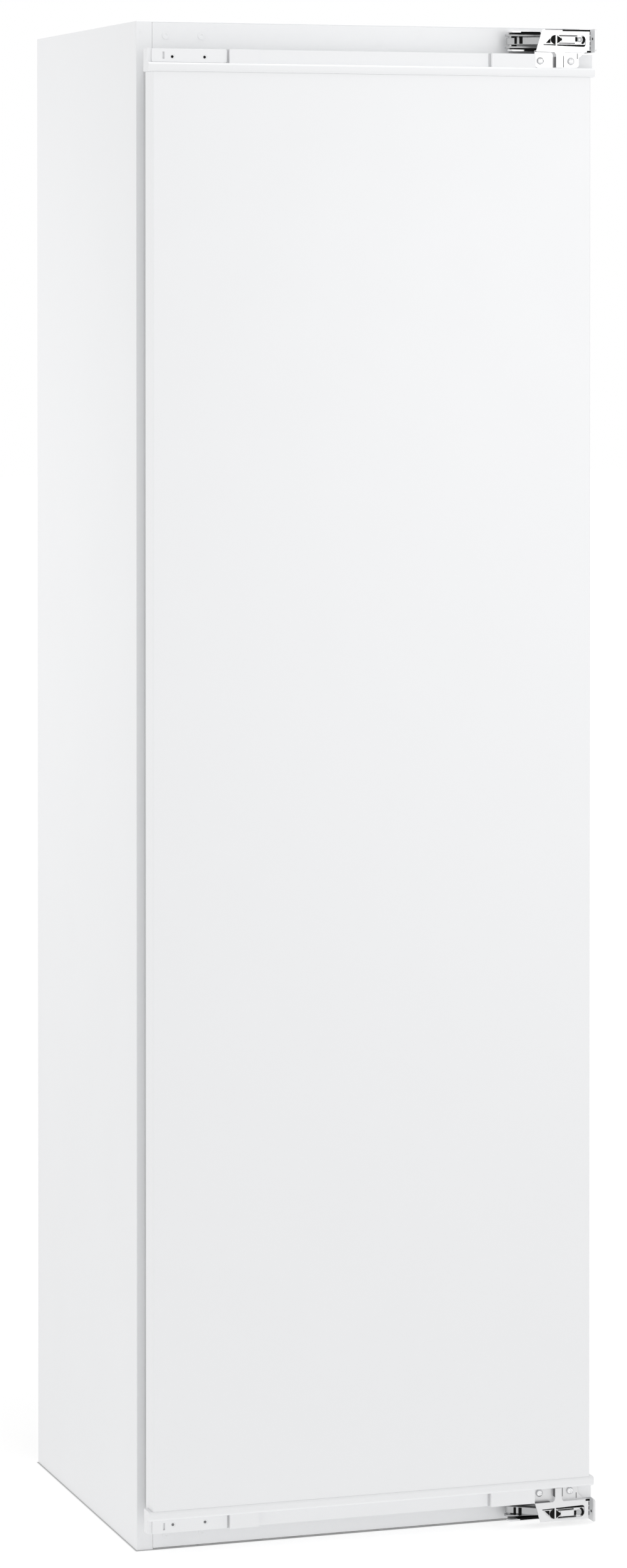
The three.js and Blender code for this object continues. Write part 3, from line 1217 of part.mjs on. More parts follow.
/** Two equal flat layers above and below the hinge's middle. */
function layers(outline, outer, sheet) {
  return join(
    prism(outline, 'z', [HINGE_MIDDLE + outer - sheet, HINGE_MIDDLE + outer], 3),
    prism(outline, 'z', [HINGE_MIDDLE - outer, HINGE_MIDDLE - outer + sheet], 3),
  );
}

/** The hinge housing on the cabinet: back plate, two flanges, the wing at the side and the fixed pin. */
function hingeBase() {
  const back = [-GAP - HINGE_SHEET, -GAP];
  const wingX = [fromRight(GAP), fromRight(GAP + HINGE_SHEET)];
  const plate = block([fromRight(BASE_LEFT + BASE_NOTCH), wingX[1]], back, band(BASE_HALF_HEIGHT));
  const wingZ = [HINGE_MIDDLE - WING_HALF_HEIGHT + WING_RISE, HINGE_MIDDLE + WING_HALF_HEIGHT + WING_RISE];
  const wingOutline = roundedBox([WING_FRONT, back[1]], wingZ, [WING_ROUND, 0, 0, WING_ROUND]);
  const wing = prism(wingOutline, 'x', wingX);
  const flangeX = [fromRight(BASE_LEFT), fromRight(BASE_FLANGE_RIGHT)];
  const flange = roundedBox(flangeX, [BASE_FLANGE_FRONT, back[1]], [BASE_LEFT_ROUND, BASE_RIGHT_ROUND, 0, 0]);
  const rivet = [WING_HOLE[0], HINGE_MIDDLE + WING_HOLE[1]];
  const hole = rod('x', rivet, WING_HOLE_RADIUS, [wingX[0] - 1, wingX[1] + 1], 8);
  const pin = rod('z', basePivot, BASE_PIN_RADIUS, band(BASE_HALF_HEIGHT), 16);
  return cut(join(plate, wing, layers(flange, BASE_HALF_HEIGHT, HINGE_SHEET), pin), hole);
}

/** The swinging arm: two plates joined by a web, with the pin at its tip. */
function hingeArm() {
  const outline = capsule(basePivot, tipPivot, ARM_HALF_WIDTH);
  const plates = layers(outline, ARM_HALF_HEIGHT, HINGE_SHEET);
  const bore = rod('z', basePivot, BASE_PIN_RADIUS + PIVOT_CLEARANCE, band(BASE_HALF_HEIGHT), 16);
  const lean = Math.atan2(tipPivot[1] - basePivot[1], tipPivot[0] - basePivot[0]);
  const length = Math.hypot(DOOR_PIVOT[0], DOOR_PIVOT[1]);
  const along = [Math.cos(lean), Math.sin(lean)];
  const across = [Math.sin(lean), -Math.cos(lean)];
  const at = (s, offset) => [
    basePivot[0] + along[0] * s + across[0] * offset,
    basePivot[1] + along[1] * s + across[1] * offset,
  ];
  const web = polygon([
    at(ARM_WEB_SETBACK, ARM_HALF_WIDTH - ARM_WEB),
    at(ARM_WEB_SETBACK, ARM_HALF_WIDTH),
    at(length - ARM_WEB_SETBACK, ARM_HALF_WIDTH),
    at(length - ARM_WEB_SETBACK, ARM_HALF_WIDTH - ARM_WEB),
  ]);
  const pin = rod('z', tipPivot, LINK_PIN_RADIUS, band(ARM_HALF_HEIGHT), 14);
  return join(cut(plates, bore), prism(web, 'z', band(ARM_HALF_HEIGHT)), pin);
}

/** The coupler between the arm's tip and the door, with play at the arm's tip. */
function hingeCoupler() {
  return cut(
    prism(capsule(doorPivot, tipPivot, COUPLER_HALF_WIDTH), 'z', band(COUPLER_HALF_HEIGHT), 3),
    rod('z', doorPivot, LINK_PIN_RADIUS + PIVOT_CLEARANCE, band(BASE_HALF_HEIGHT), 14),
    rod('z', tipPivot, LINK_PIN_RADIUS + PIVOT_CLEARANCE, band(BASE_HALF_HEIGHT), 14),
  );
}

/** The plate's window, straight towards the ears and sloping at the other side of its left end. */
function plateWindow() {
  const [low, high] = band(WINDOW_HALF_HEIGHT);
  const right = fromRight(WINDOW_RIGHT);
  const [near, far] = WINDOW_ROUNDS;
  const shape = new THREE.Shape();
  shape.moveTo(fromRight(WINDOW_LEFT), low);
  shape.absarc(right - near, low + near, near, -Math.PI / 2, 0, false);
  shape.absarc(right - far, high - far, far, 0, Math.PI / 2, false);
  for (const [x, rise] of [...WINDOW_SLOPE].reverse()) shape.lineTo(fromRight(x), HINGE_MIDDLE + rise);
  return shape;
}

/** The plate's neck, which widens in two hollow rounds where it meets the frame. */
function plateNeck(bottom, top) {
  const [left, right] = [fromRight(NECK_LEFT), fromRight(NECK_RIGHT)];
  const start = top - NECK_FILLET;
  const shape = new THREE.Shape();
  shape.moveTo(left, bottom);
  shape.lineTo(right, bottom);
  shape.absarc(right + NECK_FILLET, start, NECK_FILLET, Math.PI, Math.PI / 2, true);
  shape.absarc(left - NECK_FILLET, start, NECK_FILLET, Math.PI / 2, 0, true);
  return shape;
}

/** The plate's two screw ears in one outline, with a shoulder towards the frame's right end. */
function plateEars(bottom, top) {
  const [left, right] = [fromRight(EAR_LEFT), fromRight(EAR_RIGHT)];
  const [shoulderX, shoulderHeight] = EAR_SHOULDER;
  const shape = new THREE.Shape();
  shape.moveTo(left + EAR_ROUND, bottom);
  shape.absarc(right - EAR_ROUND, bottom + EAR_ROUND, EAR_ROUND, -Math.PI / 2, 0, false);
  shape.lineTo(right, top - shoulderHeight);
  shape.lineTo(fromRight(shoulderX), top);
  shape.lineTo(left, top);
  shape.absarc(left + EAR_ROUND, bottom + EAR_ROUND, EAR_ROUND, Math.PI, 1.5 * Math.PI, false);
  return shape;
}

/** The door's hinge plate: window frame, raised neck, screw ears and the lugs with the door pin. */
function hingePlate(earBottom) {
  const [low, high] = band(PLATE_HALF_HEIGHT);
  const sheet = [DOOR_FRONT, DOOR_FRONT + PLATE_SHEET];
  const outline = polygon([
    [fromRight(PLATE_BOTTOM_LEFT), low],
    [fromRight(PLATE_RIGHT), low],
    [fromRight(PLATE_RIGHT), high],
    [fromRight(PLATE_TOP_LEFT), high],
  ]);
  const frame = prism(outline, 'y', sheet);
  const window = prism(plateWindow(), 'y', [sheet[0] - 1, sheet[1] + 1], 3);
  const earY = [DOOR_FRONT + EAR_POCKET_DEPTH - GAP - PLATE_SHEET, DOOR_FRONT + EAR_POCKET_DEPTH - GAP];
  const joggle = [low - GAP, low + PLATE_SHEET - GAP];
  const earX = [fromRight(EAR_LEFT), fromRight(EAR_SHOULDER[0])];
  const lug = polygon([
    [doorPivot[0] - LUG_HALF_WIDTH, sheet[0] + PLATE_SHEET / 2],
    [doorPivot[0] + LUG_HALF_WIDTH, sheet[0] + PLATE_SHEET / 2],
    [doorPivot[0] + LUG_HALF_WIDTH, sheet[0] + LUG_REACH],
    [doorPivot[0] - LUG_HALF_WIDTH, sheet[0] + LUG_REACH],
  ]);
  const shanks = SCREW_PLACES.map((x) =>
    rod('y', [fromRight(x), fromTop(SCREW_DROP)], SCREW_SHANK_RADIUS + GAP, [earY[0] - 1, earY[1] + 1], 12),
  );
  return cut(
    join(
      cut(frame, window),
      prism(plateEars(earBottom, joggle[1]), 'y', earY),
      block(earX, [sheet[0], earY[1]], joggle),
      prism(plateNeck(earBottom, joggle[0] + PLATE_SHEET / 2), 'y', [sheet[0], earY[1]], 3),
      layers(lug, ARM_HALF_HEIGHT, HINGE_SHEET),
      rod('z', doorPivot, LINK_PIN_RADIUS, band(ARM_HALF_HEIGHT), 14),
    ),
    ...shanks,
  );
}

/** A screw that holds the hinge plate to the door, with a driver socket. */
function hingeScrew(x) {
  const seat = DOOR_FRONT + EAR_POCKET_DEPTH - GAP - PLATE_SHEET - GAP;
  const centre = [fromRight(x), fromTop(SCREW_DROP)];
  const head = [seat - SCREW_HEAD_HEIGHT, seat];
  return cut(
    join(
      rod('y', centre, SCREW_HEAD_RADIUS, head, 18),
      rod('y', centre, SCREW_SHANK_RADIUS, [seat - 1, seat + SCREW_LENGTH], 10),
    ),
    rod('y', centre, SCREW_SOCKET, [head[0] - 1, head[0] + SCREW_SOCKET], 6),
  );
}

// Assembly

piece('cabinet_wrapper', cabinetWrapper(), 'white_steel');
piece('rear_panel', rearPanel(), 'galvanised');
piece('base_pan', basePan(), 'galvanised');
piece('cabinet_foam', cabinetFoam(), 'foam');
piece('cabinet_liner', cabinetLiner(), 'liner_plastic');
piece('top_rail', topRail(), 'white_steel');
piece('bottom_rail', atBottom(topRail()), 'white_steel');

SHELF_HEIGHTS.forEach((z, i) => piece(`shelf_${i + 1}`, shelf(z), 'glass'));
const upperFloor = STEP_TOP + DRAWER_FLOOR_CLEARANCE;
const upperRear = CAVITY_DEPTH - DRAWER_REAR_CLEARANCE;
const lowerRear = STEP_START - DRAWER_REAR_CLEARANCE;
const lowerFloor = CAVITY_FLOOR + DRAWER_FLOOR_CLEARANCE;
piece('crisper_upper', drawer(UPPER_DRAWER_FRONT, upperRear, upperFloor, upperDrawerTop), 'clear_plastic');
piece('crisper_lower', drawer(LOWER_DRAWER_FRONT, lowerRear, lowerFloor, lowerDrawerTop), 'clear_plastic');
piece('control_housing', controlHousing(), 'white_plastic');
piece('thermostat_knob', thermostatKnob(), 'white_plastic');
piece('lamp_cover', lampCover(), 'clear_plastic');
piece('air_cover', airCover(), 'white_plastic');
piece('fan_motor', fanMotor(), 'black_plastic');
piece('fan_rotor', fanRotor(), 'black_plastic');

piece('evaporator_plate', evaporator(), 'aluminium');
piece('drain_tube', drainTube(), 'black_plastic');
piece('drip_tray', dripTray(), 'black_plastic');
piece('compressor', compressor(), 'dark_steel');
for (const [row, sideY] of [['front', -1], ['rear', 1]]) {
  for (const [side, sideX] of [['left', -1], ['right', 1]]) {
    piece(`grommet_${row}_${side}`, grommet(sideX, sideY), 'rubber');
  }
}
piece('relay_box', relayBox(), 'black_plastic');
piece('suction_pipe', suctionPipe(), 'copper');
piece('discharge_pipe', dischargePipe(), 'copper');
piece('filter_drier', filterDrier(), 'copper');
piece('condenser_tube', condenserTube(), 'dark_steel');
piece('condenser_grid', condenserGrid(), 'dark_steel');

piece('door_skin', doorSkin(), 'white_steel');
piece('door_foam', doorFoam(), 'foam');
piece('door_liner', doorLiner(), 'liner_plastic');
piece('door_gasket', doorGasket(), 'gasket');
BIN_BOTTOMS.forEach((z, i) => {
  const lidded = i === BIN_BOTTOMS.length - 1;
  piece(`door_bin_${i + 1}`, lidded ? liddedBin() : doorBin(z, BIN_HEIGHTS[i]), 'clear_plastic');
});
piece('bin_lid', binLid(), 'clear_plastic');

const lipEdge = SKIN_TOP + LIP_HEIGHT + GAP;
const capAndHinge = LOWER_CAP_SHIFT - LOWER_HINGE_SHIFT;
const ends = [
  { end: 'top', lower: (solid) => solid, extra: 0 },
  { end: 'bottom', lower: atBottom, extra: capAndHinge },
];
for (const { end, lower, extra } of ends) {
  const hinge = (solid) => lower(solid, LOWER_HINGE_SHIFT);
  piece(`door_cap_${end}`, lower(topCap(SCREW_DROP + extra), LOWER_CAP_SHIFT), 'white_plastic');
  piece(`fixing_bracket_${end}`, lower(topBracket(), LOWER_CAP_SHIFT), 'white_steel');
  piece(`hinge_base_${end}`, hinge(hingeBase()), 'chrome');
  piece(`hinge_arm_${end}`, hinge(hingeArm()), 'chrome');
  piece(`hinge_coupler_${end}`, hinge(hingeCoupler()), 'chrome');
  piece(`hinge_plate_${end}`, hinge(hingePlate(lipEdge + extra)), 'chrome');
  piece(`hinge_screw_${end}_left`, hinge(hingeScrew(SCREW_PLACES[0])), 'chrome');
  piece(`hinge_screw_${end}_right`, hinge(hingeScrew(SCREW_PLACES[1])), 'chrome');
}

group.position.y = -CABINET_DEPTH / 2;

export default group;
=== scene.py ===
"""A built-in column refrigerator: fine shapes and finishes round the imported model.

Shapes are drawn in millimetres: x from the middle, y from the plane of the cabinet's
front flange (the door is at negative y), z from the floor. The last step of each piece
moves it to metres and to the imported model's origin.
"""

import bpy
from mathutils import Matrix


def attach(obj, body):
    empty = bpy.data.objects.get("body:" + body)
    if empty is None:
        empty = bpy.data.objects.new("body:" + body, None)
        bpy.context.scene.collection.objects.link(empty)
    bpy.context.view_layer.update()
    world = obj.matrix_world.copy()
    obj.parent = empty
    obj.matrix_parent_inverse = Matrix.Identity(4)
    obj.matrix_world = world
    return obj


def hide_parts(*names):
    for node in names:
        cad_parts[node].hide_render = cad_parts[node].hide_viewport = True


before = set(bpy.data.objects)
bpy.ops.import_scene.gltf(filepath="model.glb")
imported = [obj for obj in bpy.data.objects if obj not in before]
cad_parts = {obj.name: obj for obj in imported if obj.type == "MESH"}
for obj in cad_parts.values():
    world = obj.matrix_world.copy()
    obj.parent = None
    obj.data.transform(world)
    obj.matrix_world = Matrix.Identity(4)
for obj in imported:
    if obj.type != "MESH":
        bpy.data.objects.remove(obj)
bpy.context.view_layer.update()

import logging
import math
from collections.abc import Callable, Sequence
from dataclasses import dataclass
from enum import Enum, StrEnum
from functools import cache

import bmesh
import bpy
from mathutils import Matrix, Vector

log = logging.getLogger("refrigerator")

Point = tuple[float, float, float]
Pair = tuple[float, float]
Colour = tuple[float, float, float]
Span = tuple[float, float, float, float, float, float]
Beam = tuple[Point, Point, float, float]
Obj = bpy.types.Object

MM = 0.001
SETBACK = 222.0
TO_ROW = Matrix.Translation((0.0, -SETBACK * MM, 0.0)) @ Matrix.Diagonal((MM, MM, MM, 1.0))
TO_METRES = Matrix.Diagonal((MM, MM, MM, 1.0))
GAP = 0.3

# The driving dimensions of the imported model, in millimetres
WIDTH = 548.0
HALF = WIDTH / 2
DEPTH = 444.0
HEIGHT = 1770.0
CAVITY_HALF = 227.0
CAVITY_DEPTH = 390.0
CAVITY_FLOOR = 70.0
CAVITY_CEILING = 1700.0
DOOR_FRONT = -50.0
SHELVES = (445.0, 690.0, 935.0, 1180.0, 1425.0)


class End(StrEnum):
    """The upper or the lower end of the door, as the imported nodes' names say it."""

    TOP = "top"
    BOTTOM = "bottom"


class Tree:
    """A node tree in the making."""

    def __init__(self, tree: bpy.types.NodeTree) -> None:
        """Starts with the tree's nodes removed.

        Args:
            tree: The node tree to fill.
        """
        self.tree = tree
        tree.nodes.clear()

    def add(self, kind: str, inputs: dict | None = None, **settings: object) -> bpy.types.Node:
        """Adds a node.

        Args:
            kind: The node's type.
            inputs: Values or sockets for its inputs, by name or index.
            **settings: Attributes of the node.

        Returns:
            The new node.
        """
        node = self.tree.nodes.new(kind)
        for name, value in settings.items():
            setattr(node, name, value)
        for key, value in (inputs or {}).items():
            if isinstance(value, bpy.types.NodeSocket):
                self.tree.links.new(value, node.inputs[key])
            else:
                node.inputs[key].default_value = value
        return node

    def math(self, operation: str, first: object, second: object = 0.0) -> bpy.types.NodeSocket:
        """Adds a Math node and returns its result."""
        node = self.add("ShaderNodeMath", {0: first, 1: second}, operation=operation)
        return node.outputs[0]


def new_group(
    kind: str, name: str, inputs: dict[str, str], outputs: dict[str, str]
) -> tuple[Tree, bpy.types.Node]:
    """Makes a node group with named sockets.

    Args:
        kind: The type of the tree.
        name: The group's name.
        inputs: Socket types by input name.
        outputs: Socket types by output name.

    Returns:
        The tree and its input node.
    """
    group = bpy.data.node_groups.new(name, kind)
    tree = Tree(group)
    for direction, sockets in (("INPUT", inputs), ("OUTPUT", outputs)):
        for socket, socket_type in sockets.items():
            group.interface.new_socket(socket, in_out=direction, socket_type=socket_type)
    return tree, tree.add("NodeGroupInput")


# Finishes


class Pattern(Enum):
    """The fine structure of a surface."""

    GRAIN = "grain"
    BRUSHED = "brushed"
    CELLS = "cells"


FLOAT, VECTOR, GEOMETRY = "NodeSocketFloat", "NodeSocketVector", "NodeSocketGeometry"


@cache
def grain_effect() -> bpy.types.NodeTree:
    """Fine grain and a slow mottle, both from 0 to 1.

    Returns:
        The shader node group.
    """
    outputs = {"Grain": FLOAT, "Mottle": FLOAT}
    tree, given = new_group(
        "ShaderNodeTree", "surface_grain", {"Vector": VECTOR, "Scale": FLOAT, "Stretch": VECTOR}, outputs
    )
    drawn = tree.add(
        "ShaderNodeVectorMath",
        {0: given.outputs["Vector"], 1: given.outputs["Stretch"]},
        operation="MULTIPLY",
    )
    fine = tree.add(
        "ShaderNodeTexNoise", {"Vector": drawn.outputs[0], "Scale": given.outputs["Scale"], "Detail": 3.0}
    )
    coarse = tree.math("MULTIPLY", given.outputs["Scale"], 0.012)
    slow = tree.add(
        "ShaderNodeTexNoise", {"Vector": given.outputs["Vector"], "Scale": coarse, "Detail": 2.0}
    )
    spread = tree.add("ShaderNodeMapRange", {"Value": slow.outputs[0], "From Min": 0.3, "From Max": 0.7})
    tree.add("NodeGroupOutput", {"Grain": fine.outputs[0], "Mottle": spread.outputs[0]})
    return tree.tree


@cache
def cell_effect() -> bpy.types.NodeTree:
    """Random cells: the distance inside a cell and a value for each.

    Returns:
        The shader node group.
    """
    tree, given = new_group(
        "ShaderNodeTree",
        "surface_cells",
        {"Vector": VECTOR, "Scale": FLOAT},
        {"Grain": FLOAT, "Mottle": FLOAT},
    )
    cells = tree.add(
        "ShaderNodeTexVoronoi", {"Vector": given.outputs["Vector"], "Scale": given.outputs["Scale"]}
    )
    value = tree.add("ShaderNodeSeparateColor", {0: cells.outputs["Color"]})
    tree.add("NodeGroupOutput", {"Grain": cells.outputs["Distance"], "Mottle": value.outputs[0]})
    return tree.tree


@cache
def dust_effect() -> bpy.types.NodeTree:
    """Dust that lies on surfaces facing up, from 0 to 1.

    Returns:
        The shader node group.
    """
    tree, given = new_group(
        "ShaderNodeTree", "settled_dust", {"Vector": VECTOR, "Amount": FLOAT}, {"Dust": FLOAT}
    )
    facing = tree.add("ShaderNodeSeparateXYZ", {0: tree.add("ShaderNodeNewGeometry").outputs["Normal"]})
    lying = tree.add("ShaderNodeMapRange", {"Value": facing.outputs[2], "From Min": 0.55, "From Max": 1.0})
    flecks = tree.add(
        "ShaderNodeTexNoise", {"Vector": given.outputs["Vector"], "Scale": 60.0, "Detail": 6.0}
    )
    patchy = tree.math("MULTIPLY", lying.outputs[0], flecks.outputs[0])
    tree.add("NodeGroupOutput", {"Dust": tree.math("MULTIPLY", patchy, given.outputs["Amount"])})
    return tree.tree


@dataclass(frozen=True)
class Finish:
    """One material: its colour, how it shines and its fine structure."""

    name: str
    slot: str
    colour: Colour
    tint: Colour
    roughness: float
    spread: float = 0.04
    metallic: float = 0.0
    specular: float = 0.5
    coat: float = 0.0
    transmission: float = 0.0
    ior: float = 1.5
    pattern: Pattern = Pattern.GRAIN
    scale: float = 900.0
    stretch: Point = (1.0, 1.0, 1.0)
    relief: float = 0.00002
    dust: float = 0.0

    @cache
    def material(self) -> bpy.types.Material:
        """Builds the material once.

        Returns:
            The material.
        """
        material = bpy.data.materials.new(self.name)
        material.use_nodes = True
        tree = Tree(material.node_tree)
        place = tree.add("ShaderNodeTexCoord").outputs["Object"]
        group, inputs = grain_effect(), {"Vector": place, "Scale": self.scale, "Stretch": self.stretch}
        if self.pattern is Pattern.CELLS:
            group, inputs = cell_effect(), {"Vector": place, "Scale": self.scale}
        effect = tree.tree.nodes.new("ShaderNodeGroup")
        effect.node_tree = group
        for name, value in inputs.items():
            if name == "Vector":
                tree.tree.links.new(value, effect.inputs[name])
            else:
                effect.inputs[name].default_value = value
        mottle = effect.outputs["Mottle"]
        colours = {"Factor": mottle, 6: (*self.colour, 1.0), 7: (*self.tint, 1.0)}
        colour = tree.add("ShaderNodeMix", colours, data_type="RGBA").outputs[2]
        shares = {
            "Value": mottle,
            "To Min": max(self.roughness - self.spread, 0.02),
            "To Max": self.roughness + self.spread,
        }
        roughness = tree.add("ShaderNodeMapRange", shares).outputs[0]
        if self.dust:
            veil = tree.tree.nodes.new("ShaderNodeGroup")
            veil.node_tree = dust_effect()
            tree.tree.links.new(place, veil.inputs["Vector"])
            veil.inputs["Amount"].default_value = self.dust
            over = {"Factor": veil.outputs[0], 6: colour, 7: (0.42, 0.4, 0.37, 1.0)}
            colour = tree.add("ShaderNodeMix", over, data_type="RGBA").outputs[2]
            rough = {"Factor": veil.outputs[0], 2: roughness, 3: 0.95}
            roughness = tree.add("ShaderNodeMix", rough).outputs[0]
        bump = tree.add(
            "ShaderNodeBump", {"Height": effect.outputs["Grain"], "Strength": 0.6, "Distance": self.relief}
        )
        values = {
            "Base Color": colour,
            "Roughness": roughness,
            "Normal": bump.outputs[0],
            "Metallic": self.metallic,
            "Specular IOR Level": self.specular,
            "Coat Weight": self.coat,
            "Coat Roughness": 0.08,
            "Transmission Weight": self.transmission,
            "IOR": self.ior,
        }
        shader = tree.add("ShaderNodeBsdfPrincipled", values)
        tree.add("ShaderNodeOutputMaterial", {"Surface": shader.outputs[0]})
        return material


WHITE_STEEL = Finish(
    "coated_white_steel",
    "white_steel",
    colour=(0.87, 0.876, 0.886),
    tint=(0.866, 0.872, 0.882),
    roughness=0.42,
    spread=0.01,
    relief=0.000004,
)
WHITE_PLASTIC = Finish(
    "satin_white_plastic",
    "white_plastic",
    colour=(0.862, 0.868, 0.878),
    tint=(0.858, 0.864, 0.874),
    roughness=0.48,
    spread=0.015,
    scale=1600.0,
    relief=0.000006,
)
LINER = Finish(
    "white_liner_plastic",
    "liner_plastic",
    colour=(0.85, 0.86, 0.865),
    tint=(0.83, 0.84, 0.845),
    roughness=0.3,
    scale=260.0,
    relief=0.00005,
)
FOAM = Finish(
    "insulating_foam",
    "foam",
    colour=(0.8, 0.7, 0.42),
    tint=(0.72, 0.6, 0.33),
    roughness=0.9,
    pattern=Pattern.CELLS,
    relief=0.0006,
)
GASKET = Finish(
    "seal_rubber",
    "gasket",
    colour=(0.62, 0.63, 0.635),
    tint=(0.57, 0.58, 0.585),
    roughness=0.55,
    scale=700.0,
)
GLASS = Finish(
    "shelf_glass",
    "shelf_glass",
    colour=(0.93, 0.975, 0.96),
    tint=(0.91, 0.965, 0.945),
    roughness=0.02,
    spread=0.01,
    transmission=1.0,
    relief=0.000002,
)
CLEAR = Finish(
    "clear_plastic",
    "clear_plastic",
    colour=(0.94, 0.96, 0.97),
    tint=(0.92, 0.945, 0.96),
    roughness=0.07,
    spread=0.03,
    transmission=0.92,
    ior=1.49,
)
CHROME = Finish(
    "nickel_plate",
    "chrome",
    colour=(0.86, 0.865, 0.87),
    tint=(0.8, 0.805, 0.815),
    roughness=0.16,
    spread=0.06,
    metallic=1.0,
    scale=500.0,
    relief=0.00001,
)
PALE_NICKEL = Finish(
    "pale_nickel",
    "chrome",
    colour=(0.8, 0.803, 0.808),
    tint=(0.74, 0.743, 0.75),
    roughness=0.34,
    spread=0.08,
    metallic=0.55,
    scale=500.0,
    relief=0.00001,
)
NICKEL = Finish(
    "satin_nickel",
    "chrome",
    colour=(0.5, 0.505, 0.51),
    tint=(0.4, 0.405, 0.41),
    roughness=0.3,
    spread=0.06,
    metallic=0.8,
    scale=500.0,
    relief=0.00001,
)
# Painted shade: a dark grey for shadow lines at the hinges' steps, gaps and outlines, and in the lower
# bracket holes.
PAINTED_SHADE_GREY = Finish(
    "unlit_nickel",
    "chrome",
    colour=(0.2, 0.2, 0.205),
    tint=(0.15, 0.15, 0.155),
    roughness=0.6,
    spread=0.06,
    metallic=0.3,
    scale=500.0,
    relief=0.00001,
)
# Painted shade: a dead black for the deep gaps, window, outlines and holes of the hinges, the upper bracket
# holes and the wall rivets' dark dots.
PAINTED_SHADE_BLACK = Finish(
    "unlit_black",
    "black_plastic",
    colour=(0.006, 0.006, 0.006),
    tint=(0.01, 0.01, 0.01),
    roughness=0.8,
    specular=0.08,
    scale=1600.0,
)
# Painted shade: a mid grey for the shadow lines at the ends of the door caps' pockets.
POCKET_SHADE_GREY = Finish(
    "pale_grey_plastic",
    "white_plastic",
    colour=(0.62, 0.625, 0.635),
    tint=(0.6, 0.605, 0.615),
    roughness=0.5,
    scale=1600.0,
)
DARK_STEEL = Finish(
    "black_painted_steel",
    "dark_steel",
    colour=(0.022, 0.022, 0.024),
    tint=(0.035, 0.034, 0.033),
    roughness=0.42,
    spread=0.1,
    scale=500.0,
    dust=0.5,
)
ZINC = Finish(
    "zinc_sheet",
    "galvanised",
    colour=(0.56, 0.57, 0.58),
    tint=(0.68, 0.69, 0.7),
    roughness=0.38,
    spread=0.1,
    metallic=0.85,
    pattern=Pattern.CELLS,
    scale=70.0,
)
COPPER = Finish(
    "drawn_copper",
    "copper",
    colour=(0.75, 0.34, 0.2),
    tint=(0.5, 0.22, 0.13),
    roughness=0.26,
    spread=0.1,
    metallic=1.0,
    scale=300.0,
)
ALUMINIUM = Finish(
    "plain_aluminium",
    "aluminium",
    colour=(0.78, 0.785, 0.79),
    tint=(0.7, 0.705, 0.71),
    roughness=0.34,
    spread=0.08,
    metallic=1.0,
    stretch=(1.0, 1.0, 0.05),
    pattern=Pattern.BRUSHED,
)
RUBBER = Finish(
    "black_rubber",
    "rubber",
    colour=(0.03, 0.03, 0.031),
    tint=(0.05, 0.05, 0.05),
    roughness=0.8,
    scale=1200.0,
    dust=0.4,
)
BLACK_PLASTIC = Finish(
    "black_plastic",
    "black_plastic",
    colour=(0.03, 0.03, 0.032),
    tint=(0.045, 0.045, 0.048),
    roughness=0.45,
    scale=1600.0,
    dust=0.25,
)
GREY_TRIM = Finish(
    "grey_trim_plastic",
    "white_plastic",
    colour=(0.5, 0.51, 0.52),
    tint=(0.46, 0.47, 0.48),
    roughness=0.35,
    scale=1600.0,
)


# Shapes


def between(low: float, high: float, share: float) -> float:
    """The value at a share of the way from low to high."""
    return low + (high - low) * share


def arc(centre: Pair, radius: float, start: float, end: float, steps: int = 6) -> list[Pair]:
    """Points on an arc, with angles in degrees."""
    angles = [math.radians(between(start, end, i / steps)) for i in range(steps + 1)]
    return [(centre[0] + radius * math.cos(a), centre[1] + radius * math.sin(a)) for a in angles]


def rounded(u: Pair, v: Pair, radii: Sequence[float], steps: int = 6) -> list[Pair]:
    """A rectangle's outline with a radius for each corner.

    Args:
        u: Low and high in the first direction.
        v: Low and high in the second direction.
        radii: From the low-low corner round, anticlockwise.
        steps: Steps in each rounded corner.

    Returns:
        The outline's points.
    """
    corners = ((u[0], v[0]), (u[1], v[0]), (u[1], v[1]), (u[0], v[1]))
    inward = ((1, 1), (-1, 1), (-1, -1), (1, -1))
    points: list[Pair] = []
    for i, ((cu, cv), (du, dv), radius) in enumerate(zip(corners, inward, radii, strict=True)):
        if radius <= 0:
            points.append((cu, cv))
        else:
            start = 180 + 90 * i
            points += arc((cu + du * radius, cv + dv * radius), radius, start, start + 90, steps)
    return points


def bent(corners: Sequence[Point], radius: float, steps: int = 8) -> list[Vector]:
    """Corner points as a route with arcs, as wide as the straights beside them allow.

    Args:
        corners: The route's corners.
        radius: The arcs' radius.
        steps: Steps in each arc.

    Returns:
        The route's points.
    """
    points = [Vector(c) for c in corners]
    route = [points[0]]
    for before, here, after in zip(points, points[1:], points[2:]):
        incoming, outgoing = (here - before).normalized(), (after - here).normalized()
        turn = incoming.angle(outgoing)
        room = 0.49 * min((here - before).length, (after - here).length)
        reach = min(radius * math.tan(turn / 2), room)
        axis = incoming.cross(outgoing).normalized()
        inward = axis.cross(incoming) * (reach / math.tan(turn / 2))
        centre = here - incoming * reach + inward
        route += [centre + Matrix.Rotation(turn * k / steps, 3, axis) @ -inward for k in range(steps + 1)]
    return [*route, points[-1]]


def lifted(axis: str, u: float, v: float, w: float) -> Point:
    """A point drawn in u and v, at w along an axis."""
    return {"x": (w, u, v), "y": (u, w, v), "z": (u, v, w)}[axis]


EdgeTest = Callable[[Vector, Vector], bool]


